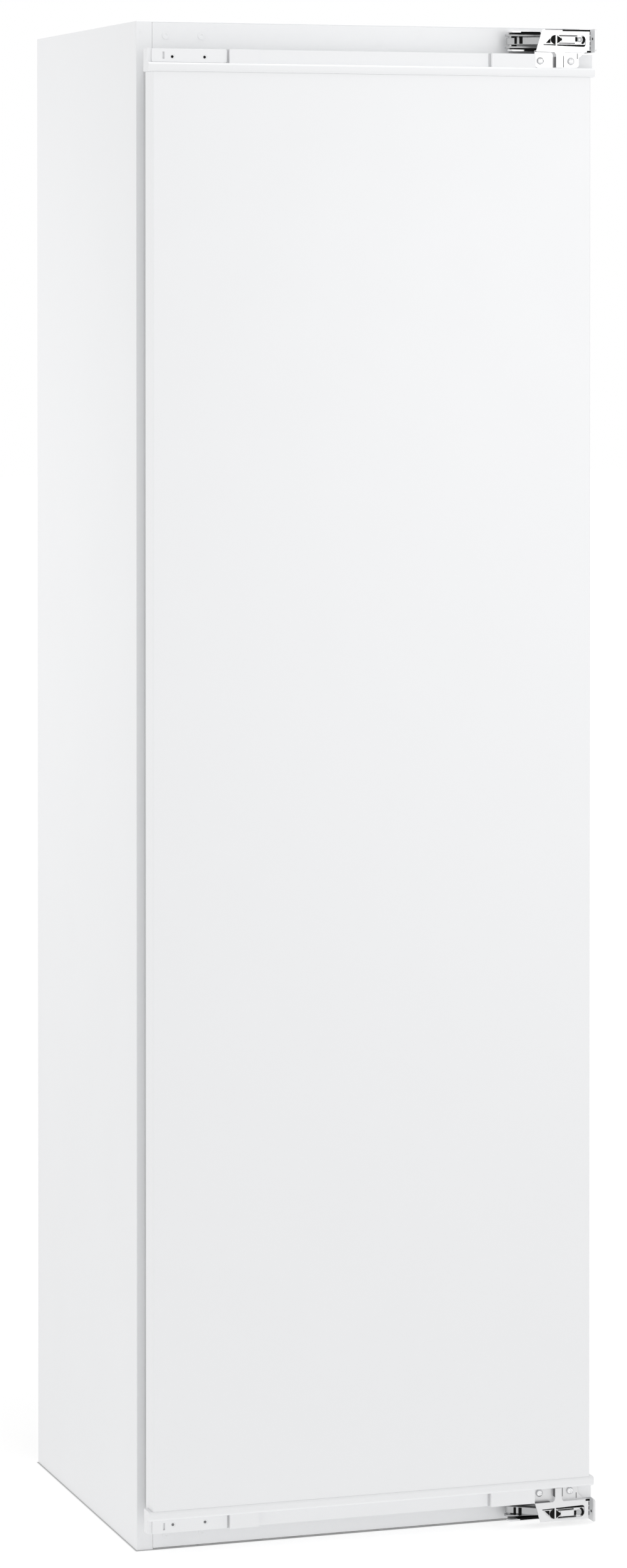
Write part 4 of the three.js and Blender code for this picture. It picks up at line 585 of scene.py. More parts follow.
class Shape:
    """A mesh under construction, in millimetres."""

    def __init__(self) -> None:
        """Starts empty."""
        self.bm = bmesh.new()

    @classmethod
    def of_node(cls, node: str) -> "Shape":
        """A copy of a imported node: merged, with its flat faces joined.

        Args:
            node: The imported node's name.

        Returns:
            The new shape.
        """
        shape = cls()
        shape.bm.from_mesh(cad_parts[node].data)
        shape.bm.transform(TO_ROW.inverted())
        bmesh.ops.remove_doubles(shape.bm, verts=shape.bm.verts, dist=0.01)
        bmesh.ops.dissolve_limit(
            shape.bm, angle_limit=math.radians(1), verts=shape.bm.verts, edges=shape.bm.edges
        )
        return shape

    def joined(self, *others: "Shape") -> "Shape":
        """Takes the meshes of other shapes in.

        Args:
            *others: The shapes to take in, which this uses up.

        Returns:
            The shape itself.
        """
        for other in others:
            carrier = bpy.data.meshes.new("carrier")
            other.bm.to_mesh(carrier)
            other.bm.free()
            self.bm.from_mesh(carrier)
            bpy.data.meshes.remove(carrier)
        return self

    def soften(
        self, width: float, steps: int = 2, angle: float = 35.0, where: EdgeTest | None = None
    ) -> "Shape":
        """Rounds the edges.

        Args:
            width: How far the rounding reaches from an edge.
            steps: Steps in the rounding.
            angle: Smallest angle between the faces of an edge, in degrees.
            where: A test of an edge's middle and direction, or None for all edges.

        Returns:
            The shape itself.
        """
        limit = math.radians(angle)
        chosen = []
        for edge in self.bm.edges:
            if len(edge.link_faces) != 2 or edge.calc_face_angle(0.0) < limit:
                continue
            a, b = (v.co for v in edge.verts)
            if where is None or where((a + b) / 2, (b - a).normalized()):
                chosen.append(edge)
        bmesh.ops.bevel(
            self.bm,
            geom=chosen,
            offset=width,
            segments=steps,
            profile=0.5,
            affect="EDGES",
            clamp_overlap=True,
        )
        return self

    def box(self, x: Pair, y: Pair, z: Pair, edge: float = 0.0, steps: int = 2) -> "Shape":
        """Adds a box between lows and highs, with rounded edges.

        Args:
            x: Low and high along x.
            y: Low and high along y.
            z: Low and high along z.
            edge: How far the rounding reaches from an edge.
            steps: Steps in the rounding.

        Returns:
            The shape itself.
        """
        part = Shape()
        size = Matrix.Diagonal((x[1] - x[0], y[1] - y[0], z[1] - z[0], 1.0))
        middle = Matrix.Translation(((x[0] + x[1]) / 2, (y[0] + y[1]) / 2, (z[0] + z[1]) / 2))
        bmesh.ops.create_cube(part.bm, size=1.0, matrix=middle @ size)
        return self.joined(part.soften(edge, steps) if edge else part)

    def prism(
        self, outline: Sequence[Pair], axis: str, span: Pair, edge: float = 0.0, steps: int = 2
    ) -> "Shape":
        """Adds an outline extruded along an axis.

        Args:
            outline: The outline's points.
            axis: The axis of the extrusion.
            span: Low and high along the axis.
            edge: Rounding of the two ends' edges.
            steps: Steps in that rounding.

        Returns:
            The shape itself.
        """
        part = Shape()
        low, high = ([part.bm.verts.new(lifted(axis, u, v, w)) for u, v in outline] for w in span)
        ends = [part.bm.faces.new(low), part.bm.faces.new(high)]
        for i in range(len(outline)):
            j = (i + 1) % len(outline)
            part.bm.faces.new((low[i], low[j], high[j], high[i]))
        bmesh.ops.recalc_face_normals(part.bm, faces=part.bm.faces)
        if edge:
            rim = [e for f in ends for e in f.edges]
            bmesh.ops.bevel(
                part.bm,
                geom=rim,
                offset=edge,
                segments=steps,
                profile=0.5,
                affect="EDGES",
                clamp_overlap=True,
            )
        return self.joined(part)

    def lathe(self, profile: Sequence[Pair], centre: Point, axis: str = "z", steps: int = 40) -> "Shape":
        """Adds a turned shape.

        Args:
            profile: Pairs of radius and height, from one pole to the other.
            centre: The origin of the profile.
            axis: The turning axis.
            steps: Steps round.

        Returns:
            The shape itself.
        """
        part = Shape()
        rings = []
        for radius, height in profile:
            count = steps if radius > 1e-6 else 1
            spots = [2 * math.pi * k / count for k in range(count)]
            rings.append(
                [
                    part.bm.verts.new(lifted(axis, radius * math.cos(a), radius * math.sin(a), height))
                    for a in spots
                ]
            )
        for low, high in zip(rings, rings[1:]):
            for k in range(steps):
                j = (k + 1) % steps
                corners = [low[k % len(low)], low[j % len(low)], high[j % len(high)], high[k % len(high)]]
                unique = list(dict.fromkeys(corners))
                if len(unique) > 2:
                    part.bm.faces.new(unique)
        for ring in (rings[0], rings[-1]):
            if len(ring) > 1:
                part.bm.faces.new(ring)
        part.bm.transform(Matrix.Translation(centre))
        bmesh.ops.recalc_face_normals(part.bm, faces=part.bm.faces)
        return self.joined(part)

    def cut(self, tool: "Shape") -> "Shape":
        """Cuts another shape from this one.

        Args:
            tool: The shape to cut away, which this uses up.

        Returns:
            The shape itself.
        """
        target, cutter = (bpy.data.objects.new("cutting", bpy.data.meshes.new("cutting")) for _ in range(2))
        for obj, shape in ((target, self), (cutter, tool)):
            shape.bm.to_mesh(obj.data)
            bpy.context.scene.collection.objects.link(obj)
        modifier = target.modifiers.new("cut", "BOOLEAN")
        modifier.object, modifier.operation, modifier.solver = cutter, "DIFFERENCE", "EXACT"
        mesh = settled(target)
        self.bm.clear()
        self.bm.from_mesh(mesh)
        tool.bm.free()
        bpy.data.meshes.remove(mesh)
        for obj in (target, cutter):
            bpy.data.objects.remove(obj)
        return self

    def mirrored(self, shift: float) -> "Shape":
        """Turns the shape upside down about the cabinet's half height and lowers it by a shift.

        Args:
            shift: How far the turned shape is lowered.

        Returns:
            The shape itself.
        """
        self.bm.transform(Matrix.Translation((0, 0, HEIGHT - shift)) @ Matrix.Diagonal((1, 1, -1, 1)))
        bmesh.ops.reverse_faces(self.bm, faces=self.bm.faces)
        return self

    def in_order(self) -> tuple[list[Point], list[Pair], list[list[int]]]:
        """The vertices and faces in an order that is the same in each run.

        Rounding a corner that turns inwards leaves them in an order that varies.

        Returns:
            The vertices, no edges, and the faces as numbers of vertices.
        """
        verts = sorted(self.bm.verts, key=lambda vert: tuple(vert.co))
        number = {vert: i for i, vert in enumerate(verts)}
        faces = sorted([number[vert] for vert in face.verts] for face in self.bm.faces)
        return [tuple(vert.co) for vert in verts], [], faces

    def mesh(self, name: str, place: Matrix = TO_ROW, smooth: float = 40.0) -> bpy.types.Mesh:
        """Ends the shape as a mesh in metres.

        Args:
            name: The mesh's name.
            place: The matrix to metres.
            smooth: Faces meet smoothly below this angle, in degrees.

        Returns:
            The mesh.
        """
        bmesh.ops.remove_doubles(self.bm, verts=self.bm.verts, dist=0.0005)
        bmesh.ops.recalc_face_normals(self.bm, faces=self.bm.faces)
        self.bm.transform(place)
        mesh = bpy.data.meshes.new(name)
        self.bm.to_mesh(mesh)
        self.bm.free()
        mesh.shade_smooth()
        mesh.set_sharp_from_angle(angle=math.radians(smooth))
        return mesh


def settled(obj: Obj) -> bpy.types.Mesh:
    """The object's mesh with its modifiers applied."""
    evaluated = obj.evaluated_get(bpy.context.evaluated_depsgraph_get())
    return bpy.data.meshes.new_from_object(evaluated)


def shown(mesh: bpy.types.Mesh, finish: Finish, body: str, *nodes: str) -> Obj:
    """Puts a mesh into the scene as a piece.

    Args:
        mesh: The mesh, in metres, at its place.
        finish: Its finish.
        body: The body that it rides on.
        *nodes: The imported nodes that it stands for.

    Returns:
        The piece.
    """
    name = mesh.name
    obj = bpy.data.objects.new(name, mesh)
    bpy.context.scene.collection.objects.link(obj)
    even = obj.modifiers.new("even", "WEIGHTED_NORMAL")
    even.keep_sharp = True
    final = settled(obj)
    obj.modifiers.remove(even)
    obj.data = final
    bpy.data.meshes.remove(mesh)
    final.name = name
    final.materials.clear()
    final.materials.append(finish.material())
    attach(obj, body)
    if nodes:
        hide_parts(*nodes)
    log.info("%s on %s, %d faces", name, body, len(final.polygons))
    return obj


def piece(name: str, shape: Shape, finish: Finish, body: str, *nodes: str, smooth: float = 40.0) -> Obj:
    """Ends a shape as a piece; see shown for the arguments."""
    return shown(shape.mesh(name, smooth=smooth), finish, body, *nodes)


def softened_node(
    node: str, finish: Finish, body: str, width: float, steps: int = 2, where: EdgeTest | None = None
) -> Obj:
    """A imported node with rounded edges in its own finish.

    Args:
        node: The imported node's name.
        finish: Its finish.
        body: The body that it rides on.
        width: How far the rounding reaches from an edge.
        steps: Steps in the rounding.
        where: A test of an edge's middle and direction, or None for all edges.

    Returns:
        The piece.
    """
    return piece(
        f"{node}_finished", Shape.of_node(node).soften(width, steps, where=where), finish, body, node
    )


def repaint(finish: Finish, *nodes: str) -> None:
    """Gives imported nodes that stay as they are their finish.

    Args:
        finish: Their finish.
        *nodes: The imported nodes.
    """
    for node in nodes:
        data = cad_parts[node].data
        data.materials.clear()
        data.materials.append(finish.material())


# What repeats or follows a path


@cache
def row_recipe() -> bpy.types.NodeTree:
    """Copies of a template in a straight row.

    Returns:
        The Geometry Nodes tree.
    """
    inputs = {
        "Template": "NodeSocketObject",
        "Count": "NodeSocketInt",
        "Start": VECTOR,
        "Step": VECTOR,
        "Finish": "NodeSocketMaterial",
    }
    tree, given = new_group(
        "GeometryNodeTree", "row_of_copies", {"Geometry": GEOMETRY, **inputs}, {"Geometry": GEOMETRY}
    )
    line = {
        "Count": given.outputs["Count"],
        "Start Location": given.outputs["Start"],
        "Offset": given.outputs["Step"],
    }
    points = tree.add("GeometryNodeMeshLine", line, mode="OFFSET")
    template = tree.add("GeometryNodeObjectInfo", {"Object": given.outputs["Template"]})
    copies = tree.add(
        "GeometryNodeInstanceOnPoints",
        {"Points": points.outputs[0], "Instance": template.outputs["Geometry"]},
    )
    finish_copies(tree, copies.outputs[0], given)
    return tree.tree


@cache
def ring_recipe() -> bpy.types.NodeTree:
    """Copies of a template turned round the y axis of a centre.

    Returns:
        The Geometry Nodes tree.
    """
    inputs = {
        "Template": "NodeSocketObject",
        "Count": "NodeSocketInt",
        "Centre": VECTOR,
        "Finish": "NodeSocketMaterial",
    }
    tree, given = new_group(
        "GeometryNodeTree", "ring_of_copies", {"Geometry": GEOMETRY, **inputs}, {"Geometry": GEOMETRY}
    )
    line = {
        "Count": given.outputs["Count"],
        "Start Location": given.outputs["Centre"],
        "Offset": (0.0, 0.0, 0.0),
    }
    points = tree.add("GeometryNodeMeshLine", line, mode="OFFSET")
    share = tree.math("DIVIDE", tree.add("GeometryNodeInputIndex").outputs[0], given.outputs["Count"])
    turn = tree.add("ShaderNodeCombineXYZ", {"Y": tree.math("MULTIPLY", share, 2 * math.pi)})
    template = tree.add("GeometryNodeObjectInfo", {"Object": given.outputs["Template"]})
    placed = {
        "Points": points.outputs[0], "Instance": template.outputs["Geometry"], "Rotation": turn.outputs[0]
    }
    copies = tree.add("GeometryNodeInstanceOnPoints", placed)
    finish_copies(tree, copies.outputs[0], given)
    return tree.tree


@cache
def spread_recipe() -> bpy.types.NodeTree:
    """Copies of a template on the points of the base mesh.

    Returns:
        The Geometry Nodes tree.
    """
    inputs = {"Template": "NodeSocketObject", "Finish": "NodeSocketMaterial"}
    tree, given = new_group(
        "GeometryNodeTree", "copies_on_points", {"Geometry": GEOMETRY, **inputs}, {"Geometry": GEOMETRY}
    )
    template = tree.add("GeometryNodeObjectInfo", {"Object": given.outputs["Template"]})
    placed = {"Points": given.outputs["Geometry"], "Instance": template.outputs["Geometry"]}
    copies = tree.add("GeometryNodeInstanceOnPoints", placed)
    finish_copies(tree, copies.outputs[0], given)
    return tree.tree


@cache
def tube_recipe() -> bpy.types.NodeTree:
    """A round tube along the base mesh's edges.

    Returns:
        The Geometry Nodes tree.
    """
    inputs = {"Radius": FLOAT, "Sides": "NodeSocketInt", "Finish": "NodeSocketMaterial"}
    tree, given = new_group(
        "GeometryNodeTree", "tube_along_path", {"Geometry": GEOMETRY, **inputs}, {"Geometry": GEOMETRY}
    )
    path = tree.add("GeometryNodeMeshToCurve", {0: given.outputs["Geometry"]})
    section = tree.add(
        "GeometryNodeCurvePrimitiveCircle",
        {"Resolution": given.outputs["Sides"], "Radius": given.outputs["Radius"]},
    )
    skin = {"Curve": path.outputs[0], "Profile Curve": section.outputs[0], "Fill Caps": True}
    finish_copies(tree, tree.add("GeometryNodeCurveToMesh", skin).outputs[0], given)
    return tree.tree


def finish_copies(tree: Tree, made: bpy.types.NodeSocket, given: bpy.types.Node) -> None:
    """Ends a recipe with real geometry and its material.

    Args:
        tree: The recipe's tree.
        made: The geometry so far.
        given: The tree's input node.
    """
    real = tree.add("GeometryNodeRealizeInstances", {0: made})
    painted = tree.add(
        "GeometryNodeSetMaterial", {"Geometry": real.outputs[0], "Material": given.outputs["Finish"]}
    )
    tree.add("NodeGroupOutput", {"Geometry": painted.outputs[0]})


def grown(
    name: str,
    recipe: bpy.types.NodeTree,
    finish: Finish,
    values: dict,
    base: Sequence[Vector] = (),
    chained: bool = False,
) -> bpy.types.Mesh:
    """Runs a recipe and returns its result as a plain mesh.

    Args:
        name: The name of the result.
        recipe: The Geometry Nodes tree.
        finish: The finish that the tree sets.
        values: The tree's inputs by name.
        base: Points of the base mesh, in metres.
        chained: Whether edges join the base's points in order.

    Returns:
        The mesh, in metres.
    """
    start = bpy.data.meshes.new(name)
    edges = [(i, i + 1) for i in range(len(base) - 1)] if chained else []
    start.from_pydata([tuple(p) for p in base], edges, [])
    obj = bpy.data.objects.new(name, start)
    bpy.context.scene.collection.objects.link(obj)
    modifier = obj.modifiers.new("grow", "NODES")
    modifier.node_group = recipe
    given = {**values, "Finish": finish.material()}
    for item in recipe.interface.items_tree:
        if item.in_out == "INPUT" and item.name in given:
            modifier[item.identifier] = given[item.name]
    mesh = settled(obj)
    obj.modifiers.remove(modifier)
    bpy.data.objects.remove(obj)
    bpy.data.meshes.remove(start)
    mesh.name = name
    mesh.shade_smooth()
    mesh.set_sharp_from_angle(angle=math.radians(40))
    return mesh


def to_row(x: float, y: float, z: float) -> Vector:
    """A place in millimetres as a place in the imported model."""
    return TO_ROW @ Vector((x, y, z))


class Copies:
    """A template that stands for many equal parts, drawn in millimetres about its own origin."""

    def __init__(self, name: str, shape: Shape, finish: Finish) -> None:
        """Keeps the template out of sight until its copies are made.

        Args:
            name: The name of the piece.
            shape: The template's shape.
            finish: Its finish.
        """
        self.name, self.finish = name, finish
        self.template = bpy.data.objects.new(f"{name}_template", shape.mesh(f"{name}_template", TO_METRES))
        bpy.context.scene.collection.objects.link(self.template)

    def row(self, count: int, start: Point, step: Point) -> "Copies":
        """Lays the copies out in a row.

        Args:
            count: How many copies.
            start: The first copy's place.
            step: From one copy to the next.

        Returns:
            The copies themselves.
        """
        values = {
            "Template": self.template,
            "Count": count,
            "Start": tuple(to_row(*start)),
            "Step": tuple(Vector(step) * MM),
        }
        self.made = grown(self.name, row_recipe(), self.finish, values)
        return self

    def ring(self, count: int, centre: Point) -> "Copies":
        """Lays the copies out round the y axis of a centre.

        Args:
            count: How many copies.
            centre: The ring's centre.

        Returns:
            The copies themselves.
        """
        values = {"Template": self.template, "Count": count, "Centre": tuple(to_row(*centre))}
        self.made = grown(self.name, ring_recipe(), self.finish, values)
        return self

    def at(self, places: Sequence[Point]) -> "Copies":
        """Lays the copies out at given places.

        Args:
            places: A place for each copy.

        Returns:
            The copies themselves.
        """
        base = [to_row(*p) for p in places]
        self.made = grown(self.name, spread_recipe(), self.finish, {"Template": self.template}, base)
        return self

    def on(self, body: str, *nodes: str) -> Obj:
        """Ends the copies as one piece on a body."""
        bpy.data.meshes.remove(self.template.data)
        return shown(self.made, self.finish, body, *nodes)


def tube(
    name: str,
    route: Sequence[Vector],
    radius: float,
    finish: Finish,
    body: str,
    *nodes: str,
    sides: int = 16,
) -> Obj:
    """A round tube along a route in millimetres.

    Args:
        name: The name of the piece.
        route: The points of the tube's middle line.
        radius: The tube's radius.
        finish: Its finish.
        body: The body that it rides on.
        *nodes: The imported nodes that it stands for.
        sides: Sides of the round section.

    Returns:
        The piece.
    """
    base = [TO_ROW @ p for p in route]
    values = {"Radius": radius * MM, "Sides": sides}
    mesh = grown(name, tube_recipe(), finish, values, base, chained=True)
    return shown(mesh, finish, body, *nodes)


def widened(x: float, y: Pair, z: Pair) -> tuple[Pair, Pair, Pair]:
    """A box's lows and highs, alike on both sides of the middle."""
    return (-x, x), y, z


@dataclass(frozen=True)
class CabinetShell:
    """The outer sheets, the front rails and the moulded lining."""

    body: str = "cabinet"
    rail_half: float = 254.4
    rail_inner: float = 58.0
    liner_wall: float = 1.5
    liner_round: float = 9.0
    flange_round: float = 3.0
    step_front: float = 228.0
    step_top: float = 250.0
    plug_radius: float = 4.6
    plug_height: float = 0.35
    plug_places: Pair = (36.0, 79.0)
    plug_drop: float = 16.0
    pin_inset: float = 5.0
    pin_drop: float = 13.6
    pin_radius: float = 1.5
    seam_half: float = 254.3
    seam_drop: Pair = (1.9, 0.95)
    strip_lefts: Pair = (-272.4, 251.6)
    strip_width: float = 20.8
    strip_depth: Pair = (442.9, 443.6)
    strip_height: Pair = (15.9, 206.0)
    rib_width: float = 11.0
    rib_height: float = 5.0
    rib_round: float = 2.0
    shelf_rib: Pair = (119.0, 370.0)
    drawer_ribs: tuple[tuple[Pair, Pair], ...] = (
        ((136.0, 380.0), (423.7, 428.7)), ((62.0, 226.0), (223.7, 228.7))
    )
    bead_half: Pair = (4.5, 600.0)
    bead_count: int = 4
    bead_start: Pair = (-150.0, 960.0)
    bead_pitch: float = 100.0
    screw_inset: float = 12.0
    screw_low: float = 250.0
    screw_pitch: float = 160.0
    screws_aside: int = 10
    screws_on_top: Point = (-180.0, 0.0, 180.0)

    def build(self) -> None:
        """Builds the cabinet's shell."""
        corner = self._on_outer_corner
        softened_node("cabinet_wrapper", WHITE_STEEL, self.body, 0.9, 3, corner)
        for rail in ("top_rail", "bottom_rail"):
            softened_node(rail, WHITE_STEEL, self.body, 0.25, 1)
        softened_node("rear_panel", ZINC, self.body, 0.3, 1)
        softened_node("base_pan", ZINC, self.body, 0.4, 1)
        repaint(FOAM, "cabinet_foam")
        self._niche_strips()
        self._plugs()
        self._liner()
        self._ribs()
        self._rear_beads()
        self._rear_screws()

    def _on_outer_corner(self, middle: Vector, _: Vector) -> bool:
        """Whether an edge lies on two of the cabinet's outer planes.

        Args:
            middle: The edge's middle.
            _: The edge's direction, which isn't used.

        Returns:
            Whether it does.
        """
        planes = (
            abs(abs(middle.x) - HALF),
            abs(middle.y),
            abs(middle.y - DEPTH),
            abs(middle.z - HEIGHT),
            abs(middle.z),
        )
        return sum(distance < 0.05 for distance in planes) > 1

    def _niche_strips(self) -> None:
        """Strips that cover the foam's edge beside the machine niche."""
        strips = Shape()
        for low in self.strip_lefts:
            strips.box((low, low + self.strip_width), self.strip_depth, self.strip_height, 0.15, 1)
        piece("niche_edge_strips", strips, ZINC, self.body)

    def _plugs(self) -> None:
        """The plugs in the rails' spare holes, the pins in the flanges and the upper rail's seam."""
        radius, height = self.plug_radius, self.plug_height
        profile = [
            (0.0, 0.0), (radius, 0.0), (radius, -0.4), (radius - 0.7, -height), (1.6, -height),
            (1.3, -height + 0.5), (0.0, -height + 0.5),
        ]
        shape = Shape().lathe(profile, (0, 0, 0), "y", 28)
        places = [
            (x - HALF, -0.05, z)
            for x in self.plug_places
            for z in (self.plug_drop, HEIGHT - self.plug_drop)
        ]
        Copies("rail_plugs", shape, WHITE_STEEL).at(places).on(self.body)
        pin = Shape().lathe(
            [(0.0, 0.0), (self.pin_radius, 0.0), (self.pin_radius, 0.9), (0.0, 0.9)], (0, 0, 0), "y", 16
        )
        levels = (self.pin_drop, HEIGHT - self.pin_drop)
        places = [(side * (HALF - self.pin_inset), 0.05, z) for side in (-1, 1) for z in levels]
        Copies("flange_pins", pin, WHITE_PLASTIC).at(places).on(self.body)
        low, high = (HEIGHT - drop for drop in self.seam_drop)
        seams = Shape().box(*widened(self.seam_half, (0.3, 1.2), (low, high)))
        piece("rail_seams", seams, WHITE_PLASTIC, self.body)

    def _liner(self) -> None:
        """The lining: the compartment with its step, rounded inside, and the front flange."""
        low, high, half, back = CAVITY_FLOOR, CAVITY_CEILING, CAVITY_HALF, CAVITY_DEPTH
        outline = [
            (0.0, low),
            (self.step_front, low),
            (self.step_front, self.step_top),
            (back, self.step_top),
            (back, high),
            (0.0, high),
        ]
        shape = Shape()
        bm = shape.bm
        left, right = ([bm.verts.new((side, y, z)) for y, z in outline] for side in (-half, half))
        for i in range(len(outline) - 1):
            bm.faces.new((left[i], right[i], right[i + 1], left[i + 1]))
        bm.faces.new(left)
        bm.faces.new(right)
        outer = self.rail_half
        ends = (self.rail_inner + GAP, HEIGHT - self.rail_inner - GAP)
        rim = [
            bm.verts.new((x, 0.0, z))
            for x, z in ((-outer, ends[0]), (outer, ends[0]), (outer, ends[1]), (-outer, ends[1]))
        ]
        mouth = [left[0], right[0], right[-1], left[-1]]
        for i in range(4):
            j = (i + 1) % 4
            bm.faces.new((rim[i], rim[j], mouth[j], mouth[i]))
        bmesh.ops.recalc_face_normals(bm, faces=bm.faces)
        back_face = max(bm.faces, key=lambda face: face.calc_center_median().y)
        if back_face.normal.y > 0:
            bmesh.ops.reverse_faces(bm, faces=bm.faces)
        shape.soften(self.liner_round, 5, where=lambda middle, _: middle.y > 0.01)
        shape.soften(self.flange_round, 4, where=lambda middle, _: middle.y < 0.01)
        mesh = bpy.data.meshes.new("lining_skin")
        mesh.from_pydata(*shape.in_order())
        obj = bpy.data.objects.new("lining_skin", mesh)
        bpy.context.scene.collection.objects.link(obj)
        wall = obj.modifiers.new("wall", "SOLIDIFY")
        wall.thickness, wall.offset, wall.use_even_offset = self.liner_wall, -1.0, True
        thick = settled(obj)
        bpy.data.objects.remove(obj)
        bpy.data.meshes.remove(mesh)
        bm.clear()
        bm.from_mesh(thick)
        bpy.data.meshes.remove(thick)
        piece("cabinet_lining", shape, LINER, self.body, "cabinet_liner", smooth=50)

    def _ribs(self) -> None:
        """The moulded ribs for the shelves, with the spare heights between them, and for the drawers."""
        pitch = SHELVES[1] - SHELVES[0]
        heights = [z + pitch * share for z in SHELVES for share in (0.0, 0.5)]
        for side, name in ((-1, "left"), (1, "right")):
            x = sorted((side * (CAVITY_HALF - self.rib_width), side * (CAVITY_HALF + 0.5)))
            shape = Shape()
            for z in heights:
                shape.box(x, self.shelf_rib, (z - GAP - self.rib_height, z - GAP), self.rib_round, 3)
            for y, height in self.drawer_ribs:
                shape.box(x, y, height, self.rib_round, 3)
            piece(f"shelf_ribs_{name}", shape, LINER, self.body)

    def _rear_beads(self) -> None:
        """Raised beads that stiffen the rear sheet."""
        half, height = self.bead_half
        outline = rounded((-half, half), (-height, height), (4.4,) * 4, 6)
        shape = Shape().prism(outline, "y", (-0.3, 1.6), 1.2, 3)
        x, z = self.bead_start
        Copies("rear_beads", shape, ZINC).row(
            self.bead_count, (x, DEPTH, z), (self.bead_pitch, 0, 0)
        ).on(self.body)

    def _rear_screws(self) -> None:
        """The screws along the rear sheet's edges."""
        head = [(0.0, 2.2), (1.3, 2.2), (1.5, 1.1), (2.6, 1.9), (3.9, 0.9), (4.2, 0.0), (0.0, 0.0)]
        shape = Shape().lathe(head, (0, 0, 0), "y", 20)
        y, inset = DEPTH + 0.05, self.screw_inset
        levels = [self.screw_low + i * self.screw_pitch for i in range(self.screws_aside)]
        sides = [(side * (HALF - inset), y, z) for z in levels for side in (-1, 1)]
        top = [(x, y, HEIGHT - inset) for x in self.screws_on_top]
        Copies("rear_screws", shape, CHROME).at(sides + top).on(self.body)


